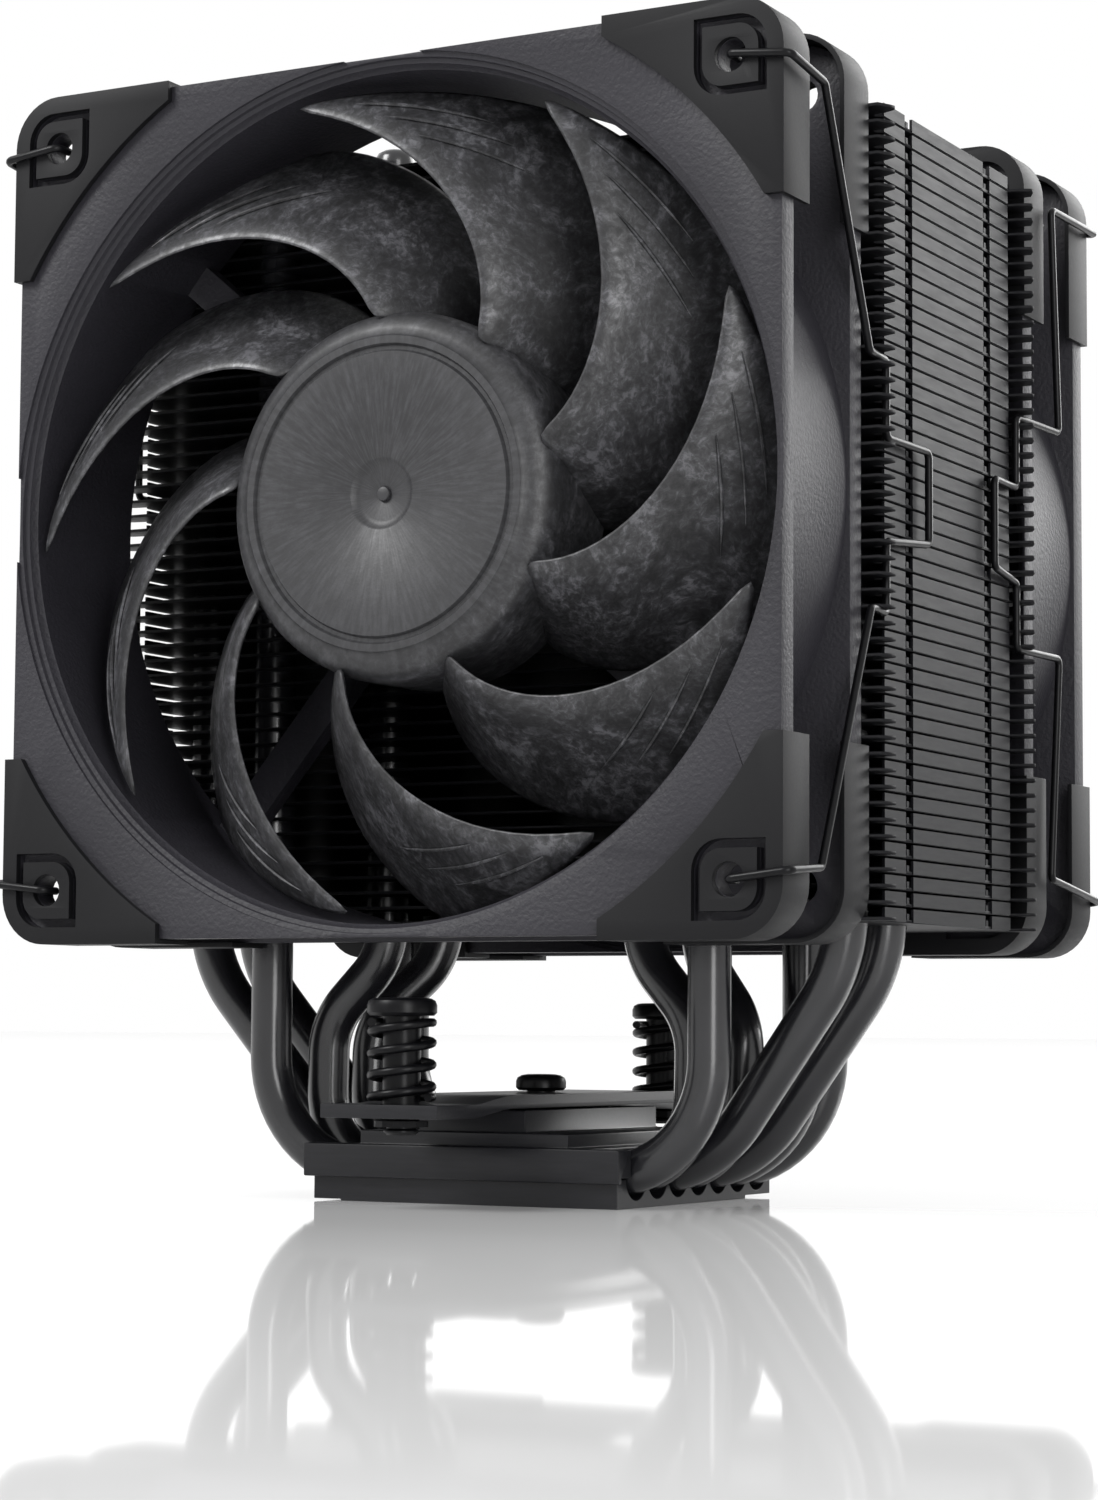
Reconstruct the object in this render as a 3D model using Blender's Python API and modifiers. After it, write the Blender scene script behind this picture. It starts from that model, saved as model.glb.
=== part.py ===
"""A dual-fan tower cooler for a processor: base, seven heat pipes, fin stack, two fans, wire clips."""

import math

import bmesh
import bpy
from mathutils import Matrix, Vector

MM = 0.001

# Clearances
GAP = 0.3
HOLE_GAP = 0.3
TIP_GAP = 0.8

# Fans: square frames with rubber corner pads, in front of and behind the fin stack
FAN_SIDE = 120.0
FAN_DEPTH = 25.0
PAD_FACE = 1.0
PAD_SKIRT = 0.7
FAN_CENTRE_Z = 95.4
FAN_FRONT_Y = -55.0
REAR_FAN_SHIFT = 85.0
HOLE_SPACING = 105.0
SCREW_HOLE = 4.4
CORNER_RADIUS = 7.0
DUCT_RADIUS = 57.6
DRUM_RADIUS = 58.6
FLANGE_DEPTH = 4.0
PAD_LEG = 26.0
PAD_ARC = 66.6
PAD_SKIRT_DEPTH = 7.5
RING_STEPS = 40
HUB_STEPS = 24
SCREW_STEPS = 14
CORNER_STEPS = 2
PAD_ARC_STEPS = 3
BEND_STEPS = 4

# Fan motor and impeller
MOTOR_PLATE_RADIUS = 21.0
MOTOR_PLATE_DEPTH = 2.0
STRUT_COUNT = 4
STRUT_WIDTH = 5.0
STRUT_DEPTH = 3.0
STRUT_TURN = 40.0
HUB_RADIUS = 24.5
HUB_FACE_RADIUS = 21.8
HUB_FRONT = 1.0
HUB_DEPTH = 17.0
HUB_WALL = 1.6
BLADE_COUNT = 9
BLADE_THICK = 1.3
BLADE_ROOT = 0.9
BLADE_ROWS = 4
BLADE_FRONT = 1.8
BLADE_REAR = 19.0
BLADE_SWEEP = 52.0
BLADE_PHASE = 15.0
BLADE_WRAP_ROOT = 26.0
BLADE_WRAP_TIP = 37.0
CUP_WALL = 0.9
SHAFT_RADIUS = 1.5
BEARING_RADIUS = 4.0
STATOR_RADIUS = 18.6
STATOR_SLOTS = 6
BOARD_RADIUS = 19.0
BOARD_THICK = 1.0

# Fin stack
FIN_BOTTOM_Z = 38.6
FIN_TOP_Z = 147.2
FIN_COUNT = 6
FIN_THICK = 0.4
SIDE_WALL_X = 59.7
SIDE_WALL_THICK = 0.5
SIDE_WALL_Y = 23.0
NOTCH_X = 58.6
TOOTH_X = 62.5
STACK_HALF_DEPTH = 28.7

# Base and heat pipes
PIPE_RADIUS = 3.0
PIPE_PITCH = 6.4
PIPE_ROW_Y = -5.6
PIPE_BASE_Z = 4.2
PIPE_TOP_Z = 153.0
PIPE_STRAIGHT_X = 18.0
BASE_HALF_X = 24.0
BASE_FRONT_Y = -30.5
BASE_REAR_Y = 18.1
BASE_SPLIT_Z = 3.9
GROOVE_RADIUS = 3.15
COVER_HALF_X = 24.9
COVER_FRONT_Y = -32.0
COVER_LIP_Z = 3.4
COVER_TOP_Z = 8.0
COVER_WAIST_X = 18.6
SEAT_HALF_X = 16.5
SEAT_TOP_Z = 9.9

# Mounting bar, its bolt and the spring screws
BAR_CENTRE_Y = -8.0
SCREW_SPAN = 78.0
BAR_THICK = 1.8
BAR_MID_TOP_Z = 15.1
BAR_END_TOP_Z = 14.0
BAR_HALF_WIDTH = 9.0
BAR_MID_HALF = 26.0
BAR_END_HALF = 45.0
BAR_HOLE = 6.0
BOLT_RADIUS = 2.0
BOLT_TIP_Z = 9.0
BOLT_HEAD_RADIUS = 3.6
SLEEVE_RADIUS = 2.55
HEAD_RADIUS = 4.7
HEAD_THICK = 2.4
SCREW_HEAD_TOP_Z = 28.2
SCREW_TIP_Z = 9.9
RING_THICK = 0.8
SPRING_RADIUS = 4.1
SPRING_WIRE = 0.6
SPRING_TURNS = 4.0

# Wire clips
CLIP_WIRE = 0.55
CLIP_FACE_GAP = 0.6
CLIP_SIDE_X = 61.2
CLIP_GROOVE_X = 60.4
CLIP_GROOVE_Y = 24.1


def colour(code):
    """A linear colour from a six-digit sRGB code."""
    parts = [int(code[i : i + 2], 16) / 255 for i in (0, 2, 4)]
    return [((c + 0.055) / 1.055) ** 2.4 if c > 0.04045 else c / 12.92 for c in parts] + [1.0]


LOOKS = {
    "frame_plastic": ("3b3b3f", 0.55, 0.0),
    "pad_rubber": ("2b2b2d", 0.7, 0.0),
    "impeller_plastic": ("4a4a4d", 0.45, 0.0),
    "fin_coating": ("5f5f63", 0.4, 0.0),
    "pipe_coating": ("2e2e31", 0.35, 0.0),
    "base_coating": ("29292b", 0.45, 0.0),
    "bar_coating": ("2c2c2f", 0.4, 0.0),
    "screw_steel": ("1c1c1e", 0.25, 1.0),
    "clip_steel": ("242427", 0.3, 1.0),
    "shaft_steel": ("b4b4b6", 0.25, 1.0),
    "bearing_brass": ("b08a4a", 0.35, 1.0),
    "stator_steel": ("6b6460", 0.4, 1.0),
    "board_green": ("24402e", 0.5, 0.0),
}


def clear_scene():
    for item in list(bpy.data.objects):
        bpy.data.objects.remove(item, do_unlink=True)


def make_collection(name):
    group = bpy.data.collections.new(name)
    bpy.context.scene.collection.children.link(group)
    return group


def make_materials():
    made = {}
    for name, (code, rough, metal) in LOOKS.items():
        material = bpy.data.materials.new(name)
        material.use_nodes = True
        shader = material.node_tree.nodes["Principled BSDF"]
        shader.inputs["Base Color"].default_value = colour(code)
        shader.inputs["Roughness"].default_value = rough
        shader.inputs["Metallic"].default_value = metal
        made[name] = material
    return made


clear_scene()
PARTS = make_collection("cpu_tower_cooler")
CUTTERS = make_collection("cutters")
MATERIALS = make_materials()


def place(name, data, look):
    """Links data as one named piece, or as a cutter when it has no look."""
    item = bpy.data.objects.new(name, data)
    if look is None:
        CUTTERS.objects.link(item)
        item.hide_render = True
        item.display_type = "WIRE"
        return item
    PARTS.objects.link(item)
    data.materials.clear()
    data.materials.append(MATERIALS[look])
    return item


def box(name, low, high, look=None):
    """A box between two corners in millimetres."""
    body = bmesh.new()
    bmesh.ops.create_cube(body, size=1.0)
    size = [b - a for a, b in zip(low, high)]
    middle = [(a + b) / 2 for a, b in zip(low, high)]
    bmesh.ops.scale(body, vec=[s * MM for s in size], verts=body.verts)
    bmesh.ops.translate(body, vec=[m * MM for m in middle], verts=body.verts)
    data = bpy.data.meshes.new(name)
    body.to_mesh(data)
    body.free()
    return place(name, data, look)


def prism(name, outline, low, high, look=None, axis="Z", holes=()):
    """An outline in millimetres extruded along Z, or drawn in X and Z and extruded along Y."""
    curve = bpy.data.curves.new(name, "CURVE")
    curve.dimensions = "2D"
    curve.fill_mode = "BOTH"
    curve.extrude = (high - low) / 2 * MM
    for loop in (outline, *holes):
        spline = curve.splines.new("POLY")
        spline.points.add(len(loop) - 1)
        for point, (x, y) in zip(spline.points, loop):
            point.co = (x * MM, y * MM, 0.0, 1.0)
        spline.use_cyclic_u = True
    guide = bpy.data.objects.new(name + "_outline", curve)
    bpy.context.scene.collection.objects.link(guide)
    graph = bpy.context.evaluated_depsgraph_get()
    data = bpy.data.meshes.new_from_object(guide.evaluated_get(graph))
    bpy.data.objects.remove(guide, do_unlink=True)
    bpy.data.curves.remove(curve)
    turn = Matrix.Rotation(math.pi / 2, 4, "X") if axis == "Y" else Matrix.Identity(4)
    middle = (low + high) / 2 * MM
    shift = Vector((0.0, middle, 0.0)) if axis == "Y" else Vector((0.0, 0.0, middle))
    data.transform(Matrix.Translation(shift) @ turn)
    body = bmesh.new()
    body.from_mesh(data)
    bmesh.ops.remove_doubles(body, verts=body.verts, dist=1e-7)
    bmesh.ops.recalc_face_normals(body, faces=body.faces)
    body.to_mesh(data)
    body.free()
    data.name = name
    return place(name, data, look)


def turned(name, profile, steps, centre, look=None, axis="Z"):
    """A profile of (radius, height) turned about Z, or about Y with height running forwards."""
    data = bpy.data.meshes.new(name)
    closed = profile[0][0] > 0.0
    count = len(profile)
    edges = [(i, i + 1) for i in range(count - 1)]
    if closed:
        edges.append((count - 1, 0))
    data.from_pydata([(r * MM, 0.0, h * MM) for r, h in profile], edges, [])
    item = place(name, data, look)
    screw = item.modifiers.new("turn", "SCREW")
    screw.steps = steps
    screw.render_steps = steps
    screw.use_merge_vertices = True
    screw.merge_threshold = 0.00001
    screw.use_smooth_shade = True
    screw.use_normal_calculate = False
    if axis == "Y":
        item.rotation_euler = (math.pi / 2, 0.0, 0.0)
    item.location = [c * MM for c in centre]
    return item


def tube(name, points, radius, look, resolution):
    """A round bar along points in millimetres."""
    curve = bpy.data.curves.new(name, "CURVE")
    curve.dimensions = "3D"
    curve.bevel_depth = radius * MM
    curve.bevel_resolution = resolution
    curve.use_fill_caps = True
    spline = curve.splines.new("POLY")
    spline.points.add(len(points) - 1)
    for point, place_at in zip(spline.points, points):
        point.co = (place_at[0] * MM, place_at[1] * MM, place_at[2] * MM, 1.0)
        spline.use_smooth = True
    return place(name, curve, look)


def boolean(item, cutter, operation="DIFFERENCE"):
    change = item.modifiers.new(operation.lower(), "BOOLEAN")
    change.operation = operation
    change.solver = "EXACT"
    change.object = cutter


def rounded(points, radius, steps):
    """A path through points with each corner turned at the given radius."""
    path = [Vector(points[0])]
    for before, corner, after in zip(points, points[1:], points[2:]):
        a = (Vector(before) - Vector(corner)).normalized()
        b = (Vector(after) - Vector(corner)).normalized()
        half = a.angle(b) / 2
        reach = radius / math.tan(half)
        centre = Vector(corner) + (a + b).normalized() * (radius / math.sin(half))
        start = Vector(corner) + a * reach - centre
        sweep = math.pi - 2 * half
        for i in range(steps + 1):
            share = i / steps
            left = math.sin((1 - share) * sweep) / math.sin(sweep)
            right = math.sin(share * sweep) / math.sin(sweep)
            finish = Vector(corner) + b * reach - centre
            path.append(centre + start * left + finish * right)
    path.append(Vector(points[-1]))
    return path


def arc(centre, radius, start, end, steps):
    """Points in the plane from one angle to another, in degrees."""
    found = []
    for i in range(steps + 1):
        turn = math.radians(start + (end - start) * i / steps)
        found.append((centre[0] + radius * math.cos(turn), centre[1] + radius * math.sin(turn)))
    return found


def rounded_square(half, radius, steps):
    reach = half - radius
    outline = []
    for k, (sx, sz) in enumerate(((1, 1), (-1, 1), (-1, -1), (1, -1))):
        outline += arc((sx * reach, sz * reach), radius, 90 * k, 90 * k + 90, steps)
    return outline


def duct_ring(radius):
    """A full circle about the fan's middle, drawn in X and Z."""
    return shifted(arc((0.0, 0.0), radius, 0, 360 - 360 / RING_STEPS, RING_STEPS - 1), 0.0, FAN_CENTRE_Z)


def shifted(points, dx, dy):
    return [(x + dx, y + dy) for x, y in points]


def pipe_row_y(number):
    """Where pipe number 1 to 7 crosses the base."""
    return PIPE_ROW_Y + PIPE_PITCH * (number - 4)


# Each pipe on its right-hand side: first corner, then the points it climbs through
PIPE_ROUTES = {
    1: [(35.0, -25.0, PIPE_BASE_Z)],
    2: [(29.6, -18.4, PIPE_BASE_Z), (29.6, -17.8, 25.0), (20.8, -16.5, 34.6)],
    3: [(28.5, -12.0, PIPE_BASE_Z), (51.4, -16.8, 33.5)],
    4: [(30.0, -5.7, PIPE_BASE_Z), (30.4, -4.4, 25.0), (21.4, 0.5, 34.6)],
    5: [(28.5, 1.0, PIPE_BASE_Z), (51.6, -3.7, 33.5)],
    6: [(34.3, 7.2, PIPE_BASE_Z)],
    7: [(35.0, 13.9, PIPE_BASE_Z)],
}
PIPE_BENDS = {1: 16.0, 2: 11.0, 3: 20.0, 4: 11.0, 5: 20.0, 6: 15.0, 7: 16.0}


def make_heat_pipe(number):
    """One pipe, from its left tip down, through its groove in the base and up to its right tip."""
    side = PIPE_ROUTES[number]
    top = (side[-1][0], side[-1][1], PIPE_TOP_Z)
    start = (PIPE_STRAIGHT_X, pipe_row_y(number), PIPE_BASE_Z)
    climb = rounded([start, *side, top], PIPE_BENDS[number], BEND_STEPS)
    drop = [Vector((-p.x, p.y, p.z)) for p in reversed(climb)]
    tube(f"heat_pipe_{number}", drop + climb, PIPE_RADIUS, "pipe_coating", 2)


def make_base_block():
    block = box(
        "base_block",
        (-BASE_HALF_X, BASE_FRONT_Y, 0.0),
        (BASE_HALF_X, BASE_REAR_Y, BASE_SPLIT_Z),
        "base_coating",
    )
    for number in range(1, 8):
        circle = arc((pipe_row_y(number), PIPE_BASE_Z), GROOVE_RADIUS, 11.25, 348.75, 15)
        groove = prism(f"groove_{number}", circle, -BASE_HALF_X - 5.0, BASE_HALF_X + 5.0, None)
        groove.data.transform(Matrix(((0, 0, 1, 0), (1, 0, 0, 0), (0, 1, 0, 0), (0, 0, 0, 1))))
        boolean(block, groove)


def make_base_cover():
    trough_front = pipe_row_y(1) - PIPE_RADIUS - GAP
    trough_rear = pipe_row_y(7) + PIPE_RADIUS + GAP
    cover = box(
        "base_cover",
        (-COVER_HALF_X, COVER_FRONT_Y, COVER_LIP_Z),
        (COVER_HALF_X, BASE_REAR_Y + 1.5, COVER_TOP_Z),
        "base_coating",
    )
    trough = box(
        "cover_trough",
        (-COVER_HALF_X - 5.0, trough_front, 0.0),
        (COVER_HALF_X + 5.0, trough_rear, PIPE_BASE_Z + PIPE_RADIUS + GAP),
    )
    block_room = box(
        "cover_block_room",
        (-COVER_HALF_X - 5.0, BASE_FRONT_Y - GAP, 0.0),
        (COVER_HALF_X + 5.0, BASE_REAR_Y + GAP, BASE_SPLIT_Z + GAP),
    )
    boolean(cover, trough)
    boolean(cover, block_room)
    for side, name in ((-1, "left"), (1, "right")):
        inner, outer = sorted((side * COVER_WAIST_X, side * (COVER_HALF_X + 5.0)))
        notch = box(
            f"cover_notch_{name}",
            (inner, trough_front, 0.0),
            (outer, trough_rear, COVER_TOP_Z + 5.0),
        )
        boolean(cover, notch)
    seat = box(
        "cover_seat",
        (-SEAT_HALF_X, COVER_FRONT_Y + 1.5, COVER_TOP_Z - 0.5),
        (SEAT_HALF_X, BAR_CENTRE_Y + 22.0, SEAT_TOP_Z),
    )
    boolean(cover, seat, "UNION")
    pedestal = box(
        "cover_pedestal",
        (-BAR_HALF_WIDTH + 0.5, BAR_CENTRE_Y - 20.0, SEAT_TOP_Z - 0.5),
        (BAR_HALF_WIDTH - 0.5, BAR_CENTRE_Y + 20.0, BAR_MID_TOP_Z - BAR_THICK - GAP),
    )
    boolean(cover, pedestal, "UNION")
    bore = BOLT_RADIUS + HOLE_GAP
    bolt_hole = turned(
        "cover_bolt_hole",
        [(0.0, BAR_MID_TOP_Z), (bore, BAR_MID_TOP_Z), (bore, BOLT_TIP_Z), (0.0, BOLT_TIP_Z)],
        SCREW_STEPS,
        (0.0, BAR_CENTRE_Y, 0.0),
    )
    boolean(cover, bolt_hole)


def bar_side_profile():
    """The bar seen from its side: raised in the middle, lower at both ends."""
    middle = BAR_MID_TOP_Z
    end = BAR_END_TOP_Z
    ramp = BAR_MID_HALF + 8.0
    top = [(-BAR_END_HALF, end), (-ramp, end), (-BAR_MID_HALF, middle), (BAR_MID_HALF, middle), (ramp, end)]
    top.append((BAR_END_HALF, end))
    return top + [(y, z - BAR_THICK) for y, z in reversed(top)]


def make_mounting_bar():
    profile = [(y + BAR_CENTRE_Y, z) for y, z in bar_side_profile()]
    bar = prism("mounting_bar", profile, -BAR_HALF_WIDTH, BAR_HALF_WIDTH, "bar_coating")
    bar.data.transform(Matrix(((0, 0, 1, 0), (1, 0, 0, 0), (0, 1, 0, 0), (0, 0, 0, 1))))
    for name, y, width in (
        ("bar_hole_front", -SCREW_SPAN / 2, BAR_HOLE),
        ("bar_hole_middle", 0.0, 2 * (BOLT_RADIUS + HOLE_GAP)),
        ("bar_hole_rear", SCREW_SPAN / 2, BAR_HOLE),
    ):
        hole = turned(
            name,
            [(0.0, 20.0), (width / 2, 20.0), (width / 2, 5.0), (0.0, 5.0)],
            SCREW_STEPS,
            (0.0, BAR_CENTRE_Y + y, 0.0),
        )
        boolean(bar, hole)


def make_bar_bolt():
    seat = BAR_MID_TOP_Z + GAP
    top = seat + 2.3
    profile = [
        (0.0, top - 0.9),
        (1.2, top - 0.9),
        (1.3, top),
        (BOLT_HEAD_RADIUS - 0.8, top),
        (BOLT_HEAD_RADIUS, top - 0.8),
        (BOLT_HEAD_RADIUS, seat + 0.5),
        (BOLT_HEAD_RADIUS - 0.5, seat),
        (BOLT_RADIUS, seat),
        (BOLT_RADIUS, BOLT_TIP_Z + GAP),
        (0.0, BOLT_TIP_Z + GAP),
    ]
    turned("bar_bolt", profile, SCREW_STEPS, (0.0, BAR_CENTRE_Y, 0.0), "screw_steel")


def screw_y(end):
    return BAR_CENTRE_Y + (-SCREW_SPAN / 2 if end == "front" else SCREW_SPAN / 2)


def make_spring_screw(end):
    top = SCREW_HEAD_TOP_Z
    under = top - HEAD_THICK
    ring_top = BAR_END_TOP_Z - BAR_THICK - GAP
    neck = SLEEVE_RADIUS - 0.6
    profile = [
        (0.0, top - 1.2),
        (1.4, top - 1.2),
        (1.6, top),
        (HEAD_RADIUS - 0.9, top),
        (HEAD_RADIUS, top - 0.9),
        (HEAD_RADIUS, under + 0.7),
        (HEAD_RADIUS - 0.5, under),
        (SLEEVE_RADIUS, under),
        (SLEEVE_RADIUS, ring_top + 0.1),
        (neck, ring_top),
        (neck, ring_top - RING_THICK - 0.2),
        (SLEEVE_RADIUS - 0.2, ring_top - RING_THICK - 0.3),
        (SLEEVE_RADIUS - 0.2, SCREW_TIP_Z),
        (0.0, SCREW_TIP_Z),
    ]
    turned(f"spring_screw_{end}", profile, SCREW_STEPS, (0.0, screw_y(end), 0.0), "screw_steel")
    low = ring_top - RING_THICK - 0.1
    ring = [
        (neck + GAP, ring_top - 0.1),
        (SLEEVE_RADIUS + 1.1, ring_top - 0.1),
        (SLEEVE_RADIUS + 1.1, low),
        (neck + GAP, low),
    ]
    turned(f"retaining_ring_{end}", ring, SCREW_STEPS, (0.0, screw_y(end), 0.0), "clip_steel")


def make_spring(end):
    low = BAR_END_TOP_Z + GAP + SPRING_WIRE
    high = SCREW_HEAD_TOP_Z - HEAD_THICK - GAP - SPRING_WIRE
    steps = int(SPRING_TURNS * 10)
    points = []
    for i in range(steps + 1):
        share = i / steps
        turn = 2 * math.pi * SPRING_TURNS * share
        points.append(
            (
                SPRING_RADIUS * math.cos(turn),
                screw_y(end) + SPRING_RADIUS * math.sin(turn),
                low + (high - low) * share,
            )
        )
    tube(f"spring_{end}", points, SPRING_WIRE, "screw_steel", 1)


def fin_outline():
    """One quarter of the fin's edge, then its mirrors: a flange side, a wire notch and a corner tooth."""
    corner = [
        (SIDE_WALL_X - SIDE_WALL_THICK / 2, SIDE_WALL_Y),
        (NOTCH_X, SIDE_WALL_Y + 0.2),
        (NOTCH_X, SIDE_WALL_Y + 2.2),
        (TOOTH_X - 1.3, SIDE_WALL_Y + 2.6),
        (TOOTH_X, SIDE_WALL_Y + 3.0),
        (TOOTH_X - 1.0, STACK_HALF_DEPTH),
    ]
    right = [(x, -y) for x, y in reversed(corner)] + corner
    return right + [(-x, -y) for x, y in right]


def pipe_holes():
    radius = (PIPE_RADIUS + HOLE_GAP) / math.cos(math.pi / 6)
    found = []
    for side in (1, -1):
        for route in PIPE_ROUTES.values():
            x, y, _ = route[-1]
            found.append(arc((side * x, y), radius, 10, 310, 5))
    return found


def make_fin_stack():
    span = FIN_TOP_Z - FIN_BOTTOM_Z - FIN_THICK
    low, high = FIN_BOTTOM_Z, FIN_BOTTOM_Z + FIN_THICK
    stack = prism("fin_stack", fin_outline(), low, high, "fin_coating", "Z", pipe_holes())
    rows = stack.modifiers.new("rows", "ARRAY")
    rows.count = FIN_COUNT
    rows.use_relative_offset = False
    rows.use_constant_offset = True
    rows.constant_offset_displace = (0.0, 0.0, span / (FIN_COUNT - 1) * MM)
    for side, name in ((1, "right"), (-1, "left")):
        inner, outer = sorted((side * (SIDE_WALL_X - SIDE_WALL_THICK), side * SIDE_WALL_X))
        wall = box(
            f"side_wall_{name}",
            (inner, -SIDE_WALL_Y + 0.1, FIN_BOTTOM_Z + 0.1),
            (outer, SIDE_WALL_Y - 0.1, FIN_TOP_Z - 0.1),
        )
        boolean(stack, wall, "UNION")


def make_frame(end, shift):
    """The fan's housing: two flanges, a drum, four struts and the plate that carries the motor."""
    front = FAN_FRONT_Y + shift
    rear = front + FAN_DEPTH
    half = FAN_SIDE / 2 - PAD_SKIRT - GAP
    outline = shifted(rounded_square(half, CORNER_RADIUS, CORNER_STEPS), 0.0, FAN_CENTRE_Z)
    duct = duct_ring(DUCT_RADIUS)
    reach = HOLE_SPACING / 2
    bolts = []
    for sx in (-1, 1):
        for sz in (-1, 1):
            bolts.append(arc((sx * reach, FAN_CENTRE_Z + sz * reach), SCREW_HOLE / 2, 0, 315, 7))
    frame = prism(f"fan_frame_{end}", outline, front, rear, "frame_plastic", "Y", [duct, *bolts])
    drum = duct_ring(DRUM_RADIUS)
    wide = shifted(rounded_square(FAN_SIDE, 1.0, 1), 0.0, FAN_CENTRE_Z)
    waist = prism(f"fan_waist_{end}", wide, front + FLANGE_DEPTH, rear - FLANGE_DEPTH, None, "Y", [drum])
    boolean(frame, waist)
    for k in range(STRUT_COUNT):
        strut = box(
            f"fan_strut_{end}_{k}",
            (MOTOR_PLATE_RADIUS - 3.0, rear - STRUT_DEPTH - 0.4, -STRUT_WIDTH / 2),
            (DUCT_RADIUS + 0.4, rear - 0.4, STRUT_WIDTH / 2),
        )
        turn = Matrix.Rotation(math.radians(STRUT_TURN + 90 * k), 4, "Y")
        strut.data.transform(Matrix.Translation((0.0, 0.0, FAN_CENTRE_Z * MM)) @ turn)
        boolean(frame, strut, "UNION")
    plate = turned(
        f"fan_motor_plate_{end}",
        [
            (0.0, MOTOR_PLATE_DEPTH + 1.4),
            (MOTOR_PLATE_RADIUS, MOTOR_PLATE_DEPTH + 1.4),
            (MOTOR_PLATE_RADIUS, 0.5),
            (0.0, 0.5),
        ],
        HUB_STEPS,
        (0.0, rear, FAN_CENTRE_Z),
        None,
        "Y",
    )
    boolean(frame, plate, "UNION")


def pad_outline(half):
    """The upper right corner pad: blunt legs, a round outer corner and an inner arc around the duct."""
    start = half - PAD_LEG
    turn = math.degrees(math.asin(start / PAD_ARC))
    inner = arc((0.0, 0.0), PAD_ARC, turn, 90 - turn, PAD_ARC_STEPS)
    reach = half - CORNER_RADIUS
    outer = arc((reach, reach), CORNER_RADIUS, 90, 0, CORNER_STEPS)
    return [*inner, (start, half), *outer, (half, start)]


def make_pads(end, shift):
    front = FAN_FRONT_Y + shift
    rear = front + FAN_DEPTH
    half = FAN_SIDE / 2
    room_half = half - PAD_SKIRT
    reach = HOLE_SPACING / 2
    for face, low, high in (
        ("inlet", front - PAD_FACE, front + PAD_SKIRT_DEPTH - PAD_FACE),
        ("outlet", rear + PAD_FACE - PAD_SKIRT_DEPTH, rear + PAD_FACE),
    ):
        for sx, side in ((1, "right"), (-1, "left")):
            for sz, level in ((1, "top"), (-1, "bottom")):
                name = f"pad_{end}_{face}_{level}_{side}"
                outline = [(sx * x, FAN_CENTRE_Z + sz * z) for x, z in pad_outline(half)]
                hole = arc((sx * reach, FAN_CENTRE_Z + sz * reach), SCREW_HOLE / 2, 0, 315, 7)
                pad = prism(name, outline, low, high, "pad_rubber", "Y", [hole])
                room = rounded_square(room_half, CORNER_RADIUS - PAD_SKIRT, CORNER_STEPS)
                room = shifted(room, 0.0, FAN_CENTRE_Z)
                if face == "inlet":
                    depth = (front - GAP, high + 5.0)
                else:
                    depth = (low - 5.0, rear + GAP)
                boolean(pad, prism(name + "_room", room, depth[0], depth[1], None, "Y"))


def blade_section(radius, share):
    """Leading and trailing edge angles and depths of a blade at one radius."""
    sweep = math.radians(BLADE_SWEEP) * share**1.3
    wrap = math.radians(BLADE_WRAP_ROOT + (BLADE_WRAP_TIP - BLADE_WRAP_ROOT) * share)
    return sweep, wrap


def make_blade(name, turn, front, look=None):
    """One sickle blade lofted from hub to tip, leading edge forwards."""
    root = HUB_RADIUS - BLADE_ROOT
    span = DUCT_RADIUS - TIP_GAP - root
    radii = [root + span * i / BLADE_ROWS for i in range(BLADE_ROWS + 1)]
    chord = [0.0, 0.45, 1.0]
    body = bmesh.new()
    layers = []
    for side in (-0.5, 0.5):
        grid = []
        for i, radius in enumerate(radii):
            sweep, wrap = blade_section(radius, i / BLADE_ROWS)
            line = []
            for c in chord:
                angle = turn + sweep - wrap * c
                depth = BLADE_FRONT + (BLADE_REAR - BLADE_FRONT) * (c**1.15)
                thick = BLADE_THICK * (0.5 if c in (0.0, 1.0) else 1.0)
                depth += side * thick
                angle += side * thick / radius * 0.6
                x = radius * math.cos(angle)
                z = radius * math.sin(angle)
                line.append(body.verts.new((x * MM, (front + depth) * MM, (z + FAN_CENTRE_Z) * MM)))
            grid.append(line)
        layers.append(grid)
    near, far = layers
    rows, cols = len(radii), len(chord)
    for i in range(rows - 1):
        for j in range(cols - 1):
            body.faces.new((near[i][j], near[i][j + 1], near[i + 1][j + 1], near[i + 1][j]))
            body.faces.new((far[i][j], far[i + 1][j], far[i + 1][j + 1], far[i][j + 1]))
    for i in range(rows - 1):
        body.faces.new((near[i][0], near[i + 1][0], far[i + 1][0], far[i][0]))
        body.faces.new((near[i][-1], far[i][-1], far[i + 1][-1], near[i + 1][-1]))
    for j in range(cols - 1):
        body.faces.new((near[0][j], far[0][j], far[0][j + 1], near[0][j + 1]))
        body.faces.new((near[-1][j], near[-1][j + 1], far[-1][j + 1], far[-1][j]))
    bmesh.ops.recalc_face_normals(body, faces=body.faces)
    data = bpy.data.meshes.new(name)
    body.to_mesh(data)
    body.free()
    return place(name, data, look)


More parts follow.
